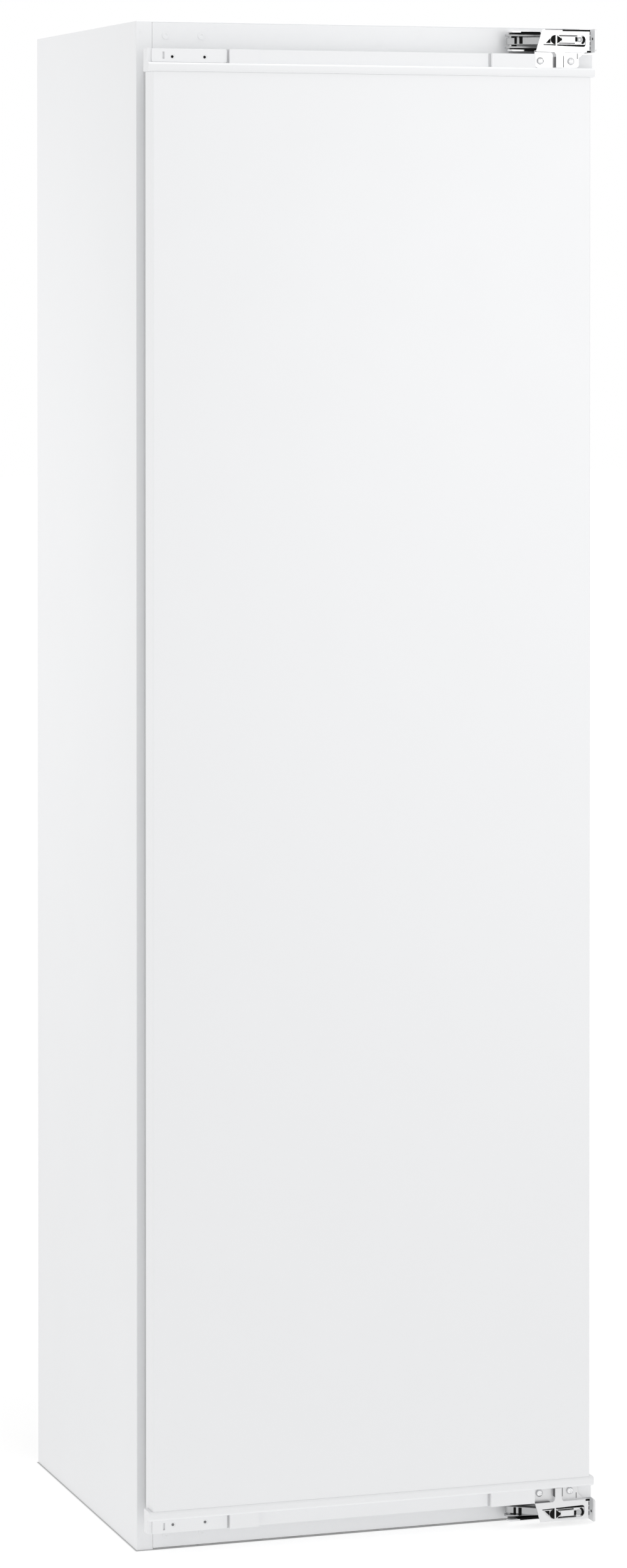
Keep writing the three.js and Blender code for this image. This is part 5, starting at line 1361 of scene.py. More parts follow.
@dataclass(frozen=True)
class ColdRoom:
    """Everything inside the compartment."""

    body: str = "cabinet"
    half: float = 222.0
    shelf_front: float = 105.0
    shelf_rear: float = 382.0
    pane: float = 4.0
    trim_depth: float = 12.0
    trim_half: float = 6.0
    grip_ends: Pair = (61.5, 210.0)
    drawers: tuple[tuple[str, str, float, Pair], ...] = (
        ("crisper_upper", "upper_drawer", 122.0, (258.0, 440.0)),
        ("crisper_lower", "lower_drawer", 48.0, (78.0, 240.0)),
    )
    mark_count: int = 8
    mark_ring: float = 20.5
    mark_sweep: float = 270.0
    switch: tuple[Pair, Pair] = ((-96.0, -84.0), (1668.0, 1687.0))
    vent_count: int = 5
    vent_start: Pair = (-25.0, 1669.0)
    vent_pitch: float = 4.2
    flute_count: int = 24
    flute_ring: float = 12.4
    knob_x: float = 65.0
    knob_z: float = 1677.35
    housing_front: float = 60.0
    housing_bottom: float = 1655.0
    lamp_x: float = -45.0
    fan_z: float = 1310.0
    fan_rear: float = 380.4
    fan_front: float = 368.4
    fan_radius: float = 38.0
    fan_blades: int = 7
    motor_rear: float = 389.7
    prism_count: int = 21
    prism_pitch: float = 4.0
    prism_half: float = 42.0
    prism_y: float = 135.0
    grip_half: Pair = (3.0, 14.2)

    def build(self) -> None:
        """Builds the shelves, drawers, controls and fan."""
        for i, z in enumerate(SHELVES, start=1):
            self._shelf(i, z)
        for drawer in self.drawers:
            self._drawer(*drawer)
        self._controls()
        self._knob()
        self._lamp()
        self._fan()

    def _shelf(self, number: int, z: float) -> None:
        """One shelf: the pane, its front trim with a bright strip, and the rear stop.

        Args:
            number: The shelf's number, counted from below.
            z: The pane's underside.
        """
        half, front, rear = self.half, self.shelf_front, self.shelf_rear
        pane = Shape().box(*widened(half, (front + 3, rear - 2), (z, z + self.pane)), 0.6, 2)
        piece(f"shelf_{number}_pane", pane, GLASS, self.body, f"shelf_{number}")
        middle = z + self.pane / 2
        reach = self.trim_half
        outline = rounded(
            (front, front + self.trim_depth), (middle - reach, middle + reach), (4, 1, 1, 4), 5
        )
        slot = [
            (front + 3.2, z + self.pane + 0.1),
            (front + 14, z + self.pane + 0.1),
            (front + 14, z - 0.1),
            (front + 3.2, z - 0.1),
        ]
        trim = Shape().prism(outline, "x", (-half, half), 0.8, 2)
        trim.cut(Shape().prism(slot, "x", (-half - 1, half + 1)))
        piece(f"shelf_{number}_front_trim", trim, WHITE_PLASTIC, self.body)
        strip = Shape().box(
            *widened(half - 6, (front - 0.05, front + 0.8), (middle - 2.2, middle + 2.2)), 0.4, 2
        )
        piece(f"shelf_{number}_bright_strip", strip, CHROME, self.body)
        stop = Shape().prism(
            rounded((rear - 5.5, rear), (z - 2, z + self.pane + 8), (1, 1, 1, 1), 3),
            "x",
            (-half, half),
            0.6,
            2,
        )
        stop.cut(Shape().box(*widened(half + 1, (rear - 9, rear - 1.9), (z - 0.1, z + self.pane + 0.1))))
        piece(f"shelf_{number}_rear_stop", stop, WHITE_PLASTIC, self.body)

    def _drawer(self, node: str, body: str, front: float, z: Pair) -> None:
        """A drawer in clear plastic with a grip strip along its front edge.

        Args:
            node: The drawer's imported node.
            body: The body that it rides on.
            front: The drawer's front plane.
            z: The drawer's underside and upper edge.
        """
        softened_node(node, CLEAR, body, 0.7, 2)
        grip = Shape()
        for side in (-1, 1):
            x = sorted(side * end for end in self.grip_ends)
            grip.box(x, (front + 0.05, front + 3.2), (z[1] + 0.95, z[1] + 2.4), 0.6, 2)
        notch = rounded((-61.0, 61.0), (z[1] - 15.5, z[1] - 13.6), (0.6, 0.6, 0.6, 0.6), 3)
        grip.prism(notch, "y", (front + 0.05, front + 3.6), 0.3, 1)
        piece(f"{node}_grip_strip", grip, GREY_TRIM, body)

    def _controls(self) -> None:
        """The ceiling housing, its dial marks, the light switch and the vents."""
        softened_node(
            "control_housing", WHITE_PLASTIC, self.body, 1.2, 3, lambda m, _: m.z < 1656.5 or m.y < 61.0
        )
        marks = Shape()
        for i in range(self.mark_count):
            angle = math.radians(-self.mark_sweep / 2 + i * self.mark_sweep / (self.mark_count - 1))
            x = self.knob_x + self.mark_ring * math.sin(angle)
            z = self.knob_z + self.mark_ring * math.cos(angle)
            radius = 0.6 + 0.13 * i
            marks.lathe(
                [(0, -0.25), (radius, -0.25), (radius, 0.3), (0, 0.3)], (x, self.housing_front, z), "y", 14
            )
        ring = [(18.2, 0.2), (18.6, -0.5), (19.0, -0.5), (19.2, 0.2)]
        marks.lathe(ring, (self.knob_x, self.housing_front, self.knob_z), "y", 48)
        piece("dial_marks", marks, GREY_TRIM, self.body)
        across, height = self.switch
        switch = Shape().box(across, (self.housing_front - 3.5, self.housing_front + 0.5), height, 1.2, 3)
        piece("light_switch", switch, GREY_TRIM, self.body)
        slats = Shape().box((-9, 9), (-0.5, 0.3), (-1.0, 1.0), 0.3, 2)
        x, z = self.vent_start
        vents = Copies("housing_vents", slats, GREY_TRIM)
        vents.row(self.vent_count, (x, self.housing_front, z), (0, 0, self.vent_pitch)).on(self.body)

    def _knob(self) -> None:
        """The thermostat knob: a skirt, a fluted grip and a pointer line."""
        x, z, rear = self.knob_x, self.knob_z, self.housing_front - GAP
        skirt = [
            (0, 0), (17.0, 0), (17.0, -1.6), (16.2, -3.2), (13.2, -4.2), (12.8, -9.0), (12.0, -10.0),
            (0, -10.0),
        ]
        shape = Shape().lathe(skirt, (x, rear, z), "y", 48)
        flute = [(0, -4.0), (1.1, -4.0), (1.1, -8.6), (0.6, -9.4), (0, -9.4)]
        for i in range(self.flute_count):
            angle = 2 * math.pi * i / self.flute_count
            place = (x + self.flute_ring * math.cos(angle), rear, z + self.flute_ring * math.sin(angle))
            shape.lathe(flute, place, "y", 10)
        wide, high = self.grip_half
        shape.box((x - wide, x + wide), (rear - 19.5, rear - 1), (z - high, z + high), 1.4, 3)
        shape.lathe([(0, -1), (4.0, -1), (4.0, 8.0), (0, 8.0)], (x, rear, z), "y", 24)
        piece("thermostat_knob_finished", shape, WHITE_PLASTIC, "knob", "thermostat_knob")
        pointer = Shape().box((x - 0.7, x + 0.7), (rear - 19.8, rear - 19.2), (z + 3.5, z + 13.0), 0.25, 1)
        piece("knob_pointer", pointer, GREY_TRIM, "knob")

    def _lamp(self) -> None:
        """The diffuser with its prisms."""
        softened_node("lamp_cover", CLEAR, self.body, 1.2, 3)
        prisms = Shape().prism(
            [(-1.4, 0.0), (1.4, 0.0), (0.0, -1.1)], "y", (-self.prism_half, self.prism_half)
        )
        low = self.housing_bottom - GAP - 4.2
        Copies("lamp_prisms", prisms, CLEAR).row(
            self.prism_count, (self.lamp_x - 40, self.prism_y, low + 0.05), (self.prism_pitch, 0, 0)
        ).on(self.body)

    def _fan(self) -> None:
        """The air cover, the motor and the rotor with its curved blades."""
        points = [vertex.co for vertex in Shape.of_node("air_cover").bm.verts]
        sides = [(axis, pick(point[axis] for point in points)) for axis in (0, 2) for pick in (min, max)]

        def on_outline(middle: Vector, _: Vector) -> bool:
            """Whether an edge lies on one of the cover's four outer sides."""
            return any(abs(middle[axis] - side) < 0.05 for axis, side in sides)

        softened_node("air_cover", WHITE_PLASTIC, self.body, 0.8, 2, on_outline)
        z, rear = self.fan_z, self.fan_rear
        motor = [
            (0, 0), (18, 0), (18, -7.4), (16.8, -9), (6, -9), (5.2, -10.4), (2.0, -10.4), (2.0, -17),
            (0, -17),
        ]
        struts = Shape().lathe(motor, (0, self.motor_rear, z), "y", 40)
        for side in (-1, 1):
            x = sorted((side * 12.0, side * 34.0))
            struts.box(x, (386.5, 389.6), (z - 4, z + 4), 0.8, 2)
        piece("fan_motor_finished", struts, BLACK_PLASTIC, self.body, "fan_motor")
        hub = [(2.3, 0.0), (13.0, 0.0), (13.0, -10.5), (11.4, -12.0), (2.3, -12.0)]
        rotor = Shape().lathe(hub, (0, rear, z), "y", 40)
        piece("fan_hub", rotor, BLACK_PLASTIC, "fan", "fan_rotor")
        blades = Copies("fan_blades", self._blade(), BLACK_PLASTIC)
        blades.ring(self.fan_blades, (0, (self.fan_front + rear) / 2, z)).on("fan")

    def _blade(self) -> Shape:
        """One cambered and twisted blade, about the fan's axis.

        Returns:
            The blade's shape.
        """
        shape = Shape()
        rows = []
        for i in range(7):
            share = i / 6
            radius = between(12.4, self.fan_radius - 0.4, share)
            pitch = math.radians(between(46, 26, share))
            chord = between(7.0, 12.0, math.sin(math.pi * (0.2 + 0.6 * share)))
            row = []
            for side in (-0.5, 0.5):
                for k in range(7):
                    s = (k / 6 - 0.5) * chord
                    camber = 1.3 * (1 - (2 * k / 6 - 1) ** 2) + side * 1.1
                    across = s * math.cos(pitch) - camber * math.sin(pitch)
                    along = s * math.sin(pitch) + camber * math.cos(pitch)
                    row.append(shape.bm.verts.new((radius, max(min(across, 5.9), -5.9), along)))
            rows.append(row)
        loop = [0, 1, 2, 3, 4, 5, 6, 13, 12, 11, 10, 9, 8, 7]
        for low, high in zip(rows, rows[1:]):
            for a, b in zip(loop, loop[1:] + loop[:1]):
                shape.bm.faces.new((low[a], low[b], high[b], high[a]))
        for row in (rows[0], rows[-1]):
            for k in range(6):
                shape.bm.faces.new((row[k], row[k + 1], row[k + 8], row[k + 7]))
        return shape


@dataclass(frozen=True)
class CoolingCircuit:
    """The refrigerating parts in the machine niche and on the back."""

    body: str = "cabinet"
    compressor: Pair = (90.0, 365.0)
    shell_radius: float = 68.0
    shell_low: float = 24.6
    shell_height: float = 130.0
    seam: Point = (72.0, 89.6, 93.6)
    foot: Pair = (85.0, 53.0)
    foot_height: Pair = (22.1, 25.1)
    grommet: Pair = (72.0, 41.0)
    plane: float = 472.0
    runs: int = 15
    run_top: float = 1540.0
    run_pitch: float = 85.0
    run_half: float = 205.0
    wire_radius: float = 1.0
    wire_span: Pair = (310.0, 1270.0)
    wire_count: int = 21
    wire_start: float = -195.0
    wire_pitch: float = 19.5
    wire_planes: Pair = (468.3, 475.2)
    post_x: float = 238.0
    post_levels: Pair = (322.0, 1568.0)
    pipe_y: float = 398.3
    pipe_x: float = 222.0
    suction_top: float = 760.0
    suction_level: float = 100.0
    discharge_level: float = 90.0
    drain_place: Pair = (60.0, 360.0)
    drier_y: float = 440.0
    relay_ribs: int = 6
    relay_rib_start: Point = (203.0, 350.0, 74.0)
    relay_rib_pitch: float = 8.0

    def build(self) -> None:
        """Builds the circuit from the compressor round to the condenser."""
        self._compressor()
        self._grommets()
        self._relay()
        self._tray()
        self._pipes()
        self._condenser()
        repaint(ALUMINIUM, "evaporator_plate")

    def _compressor(self) -> None:
        """The welded shell with its seam, foot plate and stubs."""
        x, y = self.compressor
        radius, low, height = self.shell_radius, self.shell_low, self.shell_height
        seam, seam_low, seam_high = self.seam
        lower = [(0, low), (radius - 16, low)]
        lower += [
            (radius - 16 + 16 * math.sin(a), low + 16 * (1 - math.cos(a)))
            for a in (math.radians(15 * i) for i in range(1, 7))
        ]
        lip = [
            (radius, seam_low - 3),
            (radius + 0.8, seam_low - 1),
            (seam, seam_low),
            (seam, seam_high),
            (radius - 0.6, seam_high + 0.6),
        ]
        top = low + height
        dome = [(radius - 0.6, top - 38)]
        dome += [
            ((radius - 0.6) * math.cos(a), top - 38 + 38 * math.sin(a))
            for a in (math.radians(7.5 * i) for i in range(1, 13))
        ]
        dome[-1] = (0, top)
        shape = Shape().lathe(lower + lip + dome, (x, y, 0), "z", 72)
        half_x, half_y = self.foot
        outline = rounded((x - half_x, x + half_x), (y - half_y, y + half_y), (12,) * 4, 8)
        plate = Shape().prism(outline, "z", self.foot_height, 0.8, 2)
        for side_x in (-1, 1):
            for side_y in (-1, 1):
                hole = [(0, -2), (5.6, -2), (5.6, 6), (0, 6)]
                centre = (x + side_x * self.grommet[0], y + side_y * self.grommet[1], self.foot_height[0])
                plate.cut(Shape().lathe(hole, centre, "z", 32))
        shape.joined(plate)
        for x0, x1, z0 in ((x - 60, 16.0, self.suction_level), (x + 60, 164.0, self.discharge_level)):
            length, side = abs(x1 - x0), 1 if x1 > x0 else -1
            stub = [(0, 0), (5, 0), (5, length - 0.5), (4.5, length), (0, length)]
            shape.lathe([(r, side * h) for r, h in stub], (x0, self.pipe_y, z0), "x", 24)
        crimp = [(0, 0), (3, 0), (3, 14), (2.4, 16), (1.2, 22), (0, 22)]
        shape.lathe([(r, -h) for r, h in crimp], (x - 64, y + 6, 120), "x", 20)
        piece("compressor_finished", shape, DARK_STEEL, self.body, "compressor")

    def _grommets(self) -> None:
        """Rubber feet with a waist, and the bolts through them."""
        profile = [
            (4.0, 0.0), (11.0, 0.0), (11.0, 5.0), (9.2, 7.0), (9.2, 9.0), (11.0, 11.0), (11.0, 17.5),
            (8.0, 20.0), (4.0, 20.0),
        ]
        bolt = [
            (0, 29.5), (2.6, 29.5), (3.0, 29.0), (3.0, 25.8), (5.4, 25.4), (5.4, 21.6), (8.2, 21.6),
            (8.2, 20.2), (0, 20.2),
        ]
        names = {(-1, -1): "front_left", (1, -1): "front_right", (-1, 1): "rear_left", (1, 1): "rear_right"}
        places = []
        for (side_x, side_y), name in names.items():
            centre = (
                self.compressor[0] + side_x * self.grommet[0],
                self.compressor[1] + side_y * self.grommet[1],
                1.8,
            )
            shape = Shape().lathe(profile, centre, "z", 36)
            piece(f"grommet_{name}_finished", shape, RUBBER, self.body, f"grommet_{name}")
            places.append(centre)
        Copies("foot_bolts", Shape().lathe(bolt, (0, 0, 0), "z", 24), ZINC).at(places).on(self.body)

    def _relay(self) -> None:
        """The starter box with its cable gland, and the ribs and catch on it."""
        softened_node("relay_box", BLACK_PLASTIC, self.body, 1.2, 3)
        ribs = Shape().box((-0.3, 0.7), (-22, 22), (-0.8, 0.8), 0.3, 1)
        row = Copies("relay_ribs", ribs, BLACK_PLASTIC)
        row.row(self.relay_ribs, self.relay_rib_start, (0, 0, self.relay_rib_pitch)).on(self.body)
        catch = Shape().box((176, 190), (381.5, 384.5), (122, 128), 0.8, 2)
        catch.box((178, 188), (330, 376), (129.0, 131.2), 0.8, 2)
        piece("relay_catch", catch, ZINC, self.body)

    def _tray(self) -> None:
        """The drip tray and the drain tube."""
        softened_node("drip_tray", BLACK_PLASTIC, self.body, 1.0, 3)
        profile = [(5.0, 167.4), (7.0, 167.4), (7.0, 240.0), (7.0, 248.2), (5.0, 248.2)]
        drain = Shape().lathe([*profile, profile[0]], (*self.drain_place, 0), "z", 32)
        piece("drain_tube_finished", drain, WHITE_PLASTIC, self.body, "drain_tube")

    def _pipes(self) -> None:
        """The copper pipes and the filter drier."""
        y = self.pipe_y
        level = self.suction_level
        suction = bent([(0, y, self.suction_top), (0, y, level), (15.7, y, level)], 10)
        tube("suction_pipe_finished", suction, 4.0, COPPER, self.body, "suction_pipe", sides=24)
        x, rear, low, top = self.pipe_x, self.plane, self.discharge_level, self.run_top
        corners = [(164.3, y, low), (x, y, low), (x, rear, low), (x, rear, top), (205.3, rear, top)]
        tube(
            "discharge_pipe_finished", bent(corners, 12), 3.0, COPPER, self.body, "discharge_pipe", sides=20
        )
        profile = [
            (0, 35), (3.2, 35), (3.4, 42), (5.5, 46), (9.0, 54), (9.0, 112), (5.5, 120), (3.4, 124),
            (3.2, 130), (0, 130),
        ]
        drier = Shape().lathe(profile, (-x, self.drier_y, 0), "z", 40)
        piece("filter_drier_finished", drier, COPPER, self.body, "filter_drier")

    def _condenser(self) -> None:
        """The serpentine tube with wires in front and behind, straps and spacers."""
        half = self.run_half
        corners: list[Point] = []
        for i in range(self.runs):
            z = self.run_top - i * self.run_pitch
            side = 1 if i % 2 == 0 else -1
            corners += [(side * half, self.plane, z), (-side * half, self.plane, z)]
        x, y = -self.pipe_x, self.drier_y
        corners[-1] = (x, self.plane, 350)
        corners += [(x, self.plane, 190), (x, y, 165), (x, y, 130.3)]
        tube(
            "condenser_tube_finished",
            bent(corners, 42, 12),
            2.4,
            DARK_STEEL,
            self.body,
            "condenser_tube",
            sides=12,
        )
        low, length = self.wire_span
        rod = [(0, 0), (self.wire_radius, 0), (self.wire_radius, length), (0, length)]
        sheets = (("condenser_wires", ("condenser_grid",)), ("condenser_wires_rear", ()))
        for y, (name, nodes) in zip(self.wire_planes, sheets, strict=True):
            wires = Copies(name, Shape().lathe(rod, (0, 0, 0), "z", 8), DARK_STEEL)
            wires.row(
                self.wire_count, (self.wire_start, y, low), (self.wire_pitch, 0, 0)
            ).on(self.body, *nodes)
        straps = Shape()
        for z in self.post_levels:
            straps.box(*widened(self.post_x, (466.3, 468.3), (z - 6, z + 6)), 0.6, 2)
        piece("condenser_straps", straps, DARK_STEEL, self.body)
        posts = Shape()
        for x in (-self.post_x, self.post_x):
            for z in self.post_levels:
                posts.box((x - 6, x + 6), (444.3, 494), (z - 12, z + 12), 1.6, 3)
                posts.box((x - 3, x + 3), (450, 490), (z - 12.8, z + 12.8), 0.6, 2)
        piece("wall_spacers", posts, BLACK_PLASTIC, self.body)


@dataclass(frozen=True)
class Door:
    """The door: sheet skin, moulded inside, seal, caps, brackets and bins."""

    body: str = "door"
    half: float = 269.0
    skin_ends: Pair = (56.6, 1709.9)
    skin_side: float = -22.0
    corner: float = 2.5
    trim_lefts: Pair = (-268.7, 262.1)
    trim_width: float = 6.6
    trim_depth: Pair = (-22.1, -21.5)
    trim_height: Pair = (57.0, 1709.5)
    pocket_height: Pair = (1720.7, 1736.2)
    eyelet_places: Pair = (-243.2, -204.5)
    eyelet_z: float = 1727.0
    lower_shift: float = 3.5
    bins: tuple[Pair, ...] = ((270.0, 120.0), (640.0, 90.0), (1010.0, 90.0), (1380.0, 80.0))
    bin_half: float = 195.7
    bin_front: float = 88.0
    bin_wall: float = 2.5
    seal_half: float = 258.0
    seal_low: float = 45.5
    seal_round: float = 12.0

    def build(self) -> None:
        """Builds the door."""
        self._skin()
        repaint(FOAM, "door_foam")
        self._edge_trim()
        softened_node("door_liner", LINER, self.body, 2.2, 3)
        for end in End:
            softened_node(f"door_cap_{end}", WHITE_PLASTIC, self.body, 0.45, 3)
            softened_node(f"fixing_bracket_{end}", WHITE_STEEL, self.body, 0.3, 2)
            self._pockets(end)
        self._seal()
        self._bins()
        softened_node("bin_lid", CLEAR, "lid", 0.5, 2)

    def _skin(self) -> None:
        """The front sheet, folded round at both sides."""
        x, front, side, r = self.half, DOOR_FRONT, self.skin_side, self.corner
        outer = [
            (-x, side),
            *arc((-x + r, front + r), r, 180, 270, 8),
            *arc((x - r, front + r), r, 270, 360, 8),
            (x, side),
        ]
        i = x - 1
        q = r - 1
        inner = [
            (i, side),
            *arc((i - q, front + 1 + q), q, 360, 270, 8),
            *arc((-i + q, front + 1 + q), q, 270, 180, 8),
            (-i, side),
        ]
        shape = Shape().prism([*outer, *inner], "z", self.skin_ends, 0.1, 1)
        piece("door_skin_finished", shape, WHITE_STEEL, self.body, "door_skin", smooth=30)

    def _edge_trim(self) -> None:
        """Trims that cover the foam's edge between the skin and the moulded inside."""
        trim = Shape()
        for low in self.trim_lefts:
            trim.box((low, low + self.trim_width), self.trim_depth, self.trim_height, 0.15, 1)
        piece("door_edge_trim", trim, WHITE_PLASTIC, self.body)

    def _pockets(self, end: End) -> None:
        """What shows in the cap's pockets: painted shade as dark discs in the screw holes and pale grey
        strips at the pockets' ends, and white eyelets round the holes.

        Args:
            end: Which cap.
        """
        height, z = self.pocket_height, self.eyelet_z
        # Painted shade: pale grey strips at the pockets' end walls.
        ends = Shape().box((-178.3, -176.3), (-45.0, -44.3), height)
        ends.box((142.7, 144.9), (-44.9, -43.6), height)
        eyelets, holes = Shape(), Shape()
        for x in self.eyelet_places:
            eyelets.lathe([(0, -45.85), (2.5, -45.85), (2.5, -45.0), (0, -45.0)], (x, 0, z), "y", 24)
            holes.lathe([(0, -45.98), (1.6, -45.98), (1.6, -45.8), (0, -45.8)], (x - 0.7, 0, z), "y", 24)
        # Painted shade in the bracket holes: dead black in the top cap, dark grey in the bottom one.
        hole_shade = PAINTED_SHADE_BLACK if end is End.TOP else PAINTED_SHADE_GREY
        parts = (
            ("pocket_ends", ends, POCKET_SHADE_GREY),
            ("bracket_eyelets", eyelets, WHITE_STEEL),
            ("bracket_holes", holes, hole_shade),
        )
        for name, shape, finish in parts:
            piece(
                f"{name}_{end}",
                shape.mirrored(self.lower_shift) if end is End.BOTTOM else shape,
                finish,
                self.body,
            )

    def _seal(self) -> None:
        """The bellows seal: foot, folds and magnet strip, swept round the door."""
        half, low, r = self.seal_half, self.seal_low, self.seal_round
        line = rounded((-half, half), (low, HEIGHT - low), (r,) * 4, 8)
        profile = [
            (-8, -12.7), (8, -12.7), (8, -11.6), (7.2, -9.0), (4.5, -8.2), (6.4, -6.8), (6.4, -5.8),
            (4.2, -4.8), (6.5, -3.6), (6.5, -0.9),
            (5.9, -0.3), (-5.9, -0.3), (-6.5, -0.9), (-6.5, -3.6), (-4.2, -4.8), (-6.4, -5.8), (-6.4, -6.8),
            (-4.5, -8.2), (-7.2, -9.0), (-8, -11.6),
        ]
        shape = Shape()
        bm = shape.bm
        rings = []
        count = len(line)
        for k in range(count):
            before, here, after = (Vector(line[(k + d) % count]) for d in (-1, 0, 1))
            forward = ((here - before).normalized() + (after - here).normalized()).normalized()
            across = Vector((forward.y, -forward.x))
            widen = 1 / max(across.dot(Vector(((here - before).y, -(here - before).x)).normalized()), 0.5)
            rings.append(
                [
                    bm.verts.new((here.x + across.x * u * widen, v, here.y + across.y * u * widen))
                    for u, v in profile
                ]
            )
        for low_ring, high_ring in zip(rings, rings[1:] + rings[:1]):
            for a in range(len(profile)):
                b = (a + 1) % len(profile)
                bm.faces.new((low_ring[a], low_ring[b], high_ring[b], high_ring[a]))
        piece("door_seal", shape, GASKET, self.body, "door_gasket", smooth=32)

    def _bins(self) -> None:
        """The bins in the door, with an opaque strip along each front edge."""
        for number, (low, height) in enumerate(self.bins, start=1):
            softened_node(f"door_bin_{number}", CLEAR, self.body, 0.9, 3)
            half, front, wall = self.bin_half, self.bin_front, self.bin_wall
            top = low + height
            strip = Shape().box(
                (-half + 15, half - 15), (front - wall - 0.35, front), (top - 9, top + 0.4), 0.5, 2
            )
            piece(f"bin_{number}_front_strip", strip, WHITE_PLASTIC, self.body)


@dataclass(frozen=True)
class Hinges:
    """The two hinges: housings, arms, couplers, door plates, screws and rivets, with sheets, bars and
    outlines of painted shade in their gaps and steps.

    Heights are counted from the middle of the upper hinge.
    """

    middle: float = 1752.5
    lower_shift: float = 1.0
    screw_places: Pair = (207.2, 245.8)
    screw_z: float = -23.9
    wall_rivet: Point = (274.3, -42.5, 3.0)
    # Painted shade: dead-black sheets inside the housing, seen through its gaps.
    lining: tuple[Span, ...] = (
        (184.5, 256.0, -3.0, -2.35, -9.8, 9.8),
        (188.0, 243.0, -25.2, -2.4, 9.2, 10.05),
        (188.0, 243.0, -25.2, -2.4, -10.05, -9.2),
        (190.0, 214.0, -26.5, -25.8, 8.5, 11.2),
        (194.0, 214.0, -26.5, -25.8, -12.0, -8.5),
    )
    wall_sheet: tuple[Span, ...] = ((273.8, 274.27, -49.4, -14.0, -13.2, 13.2),)
    # Dark bars on the coupler, drawn in the painted-shade black.
    clip: tuple[Span, ...] = (
        (183.7, 186.1, -22.4, -19.5, -3.2, 5.8),
        (188.6, 191.8, -26.4, -22.8, -3.2, 5.8),
    )
    # Painted shade: dead-black bars behind the plate's window, for the gaps seen dark through it.
    window_dark: tuple[Span, ...] = (
        (229.5, 252.0, -49.2, -48.5, 5.3, 6.4),
        (229.0, 249.0, -49.2, -48.5, -3.4, -2.5),
        (209.2, 262.2, -49.4, -48.5, -6.8, -4.4),
        (208.7, 210.2, -49.4, -48.5, -6.8, -3.4),
        (249.4, 252.0, -49.4, -48.5, -0.8, 4.6),
    )
    window_bright: tuple[Span, ...] = (
        (208.5, 262.2, -48.36, -48.05, -6.9, 6.9),
        (224.6, 226.4, -49.7, -48.3, -6.0, 6.2),
        (232.6, 249.2, -49.5, -48.3, -1.9, 4.6),
    )
    # Painted shade: dark grey strips on the plate's steps and on its neck's side.
    step_shade: tuple[Span, ...] = (
        (224.75, 225.3, -49.7, -43.6, -31.0, -19.0),
        (200.6, 219.6, -49.6, -44.0, -13.6, -13.25),
        (236.0, 237.0, -44.05, -43.8, -31.0, -17.6),
        (253.6, 254.6, -44.1, -43.8, -21.0, -14.4),
    )
    # Painted shade: dead-black strips that show as dark outlines along the plate's edges.
    edge_dark: tuple[Span, ...] = (
        (233.0, 267.9, -50.15, -49.8, 11.1, 13.2),
        (263.6, 268.9, -50.15, -49.6, -13.6, -11.4),
    )
    # Painted shade: dark grey dashes along the gap between the plate and the wall, and a line along the
    # plate's top.
    edge_shade: tuple[Span, ...] = (
        (211.0, 233.5, -50.1, -49.8, 12.3, 13.15),
        (267.4, 268.6, -49.9, -49.2, 7.4, 11.0),
        (267.4, 268.6, -49.9, -49.2, 1.0, 5.6),
        (267.4, 268.6, -49.9, -49.2, -4.6, -1.0),
        (267.4, 268.6, -49.9, -49.2, -10.2, -6.4),
    )
    window_face: Pair = (-49.4, -48.7)
    recess_half: Pair = (2.3, 0.45)
    recess_depth: Pair = (-47.0, -45.4)
    flange_corner: tuple[Pair, ...] = ((170.0, -20.0), (176.0, -20.0), (184.5, 1.0), (170.0, 1.0))
    lower_rim: float = 7.0
    # Painted shade: a dark grey pad behind the left ear, showing as a thin outline.
    ear_rim: tuple[Pair, Pair] = ((199.7, 222.0), (-31.6, -14.0))
    ear_face: Pair = (-42.27, -42.05)
    lower_ear_lift: float = 2.5

    def build(self) -> None:
        """Builds both hinges, the bottom one as the lowered mirror of the top one."""
        for end in End:
            lower = end is End.BOTTOM
            self._base(end)
            softened_node(f"hinge_arm_{end}", NICKEL, f"arm_{end}", 0.35, 2)
            softened_node(f"hinge_coupler_{end}", NICKEL, f"coupler_{end}", 0.3, 2)
            self._plate(end)
            # Sheets, bars and outlines of painted shade, except the wall sheet and the window links, which
            # are lit parts.
            self._boxes("housing_lining", self.lining, PAINTED_SHADE_BLACK, "cabinet", end)
            self._boxes("coupler_clip", self.clip, PAINTED_SHADE_BLACK, f"coupler_{end}", end)
            self._boxes("wall_sheet", self.wall_sheet, WHITE_STEEL, "cabinet", end)
            self._boxes("window_links", self.window_bright, PALE_NICKEL, "door", end)
            self._boxes("plate_step", self.step_shade, PAINTED_SHADE_GREY, "door", end)
            self._boxes("plate_edge", self.edge_dark[1 if lower else 0:], PAINTED_SHADE_BLACK, "door", end)
            self._boxes("plate_dashes", self.edge_shade[2 if lower else 0:], PAINTED_SHADE_GREY, "door", end)
            self._window(end)
            self._ear_rim(end)
            self._screws(end)
            self._rivet(end)

    def _base(self, end: End) -> None:
        """The housing, with the rear corners of its flanges cut off at the left.

        Args:
            end: Which hinge.
        """
        tool = Shape().prism(self.flange_corner, "z", (-20, 20))
        tool.bm.transform(Matrix.Translation((0, 0, self.middle)))
        if end is End.BOTTOM:
            tool.mirrored(self.lower_shift)
        node = f"hinge_base_{end}"
        piece(
            f"{node}_finished", Shape.of_node(node).cut(tool).soften(0.3, 2), PALE_NICKEL, "cabinet", node
        )

    def _plate(self, end: End) -> None:
        """The door's plate. The lower one has a narrower rim under its window.

        Args:
            end: Which hinge.
        """
        node = f"hinge_plate_{end}"
        shape = Shape.of_node(node)
        if end is End.BOTTOM:
            shape.cut(Shape().box((190, 280), (-52, -46), (-1, self.lower_rim)))
        piece(f"{node}_finished", shape.soften(0.3, 2), PALE_NICKEL, "door", node)

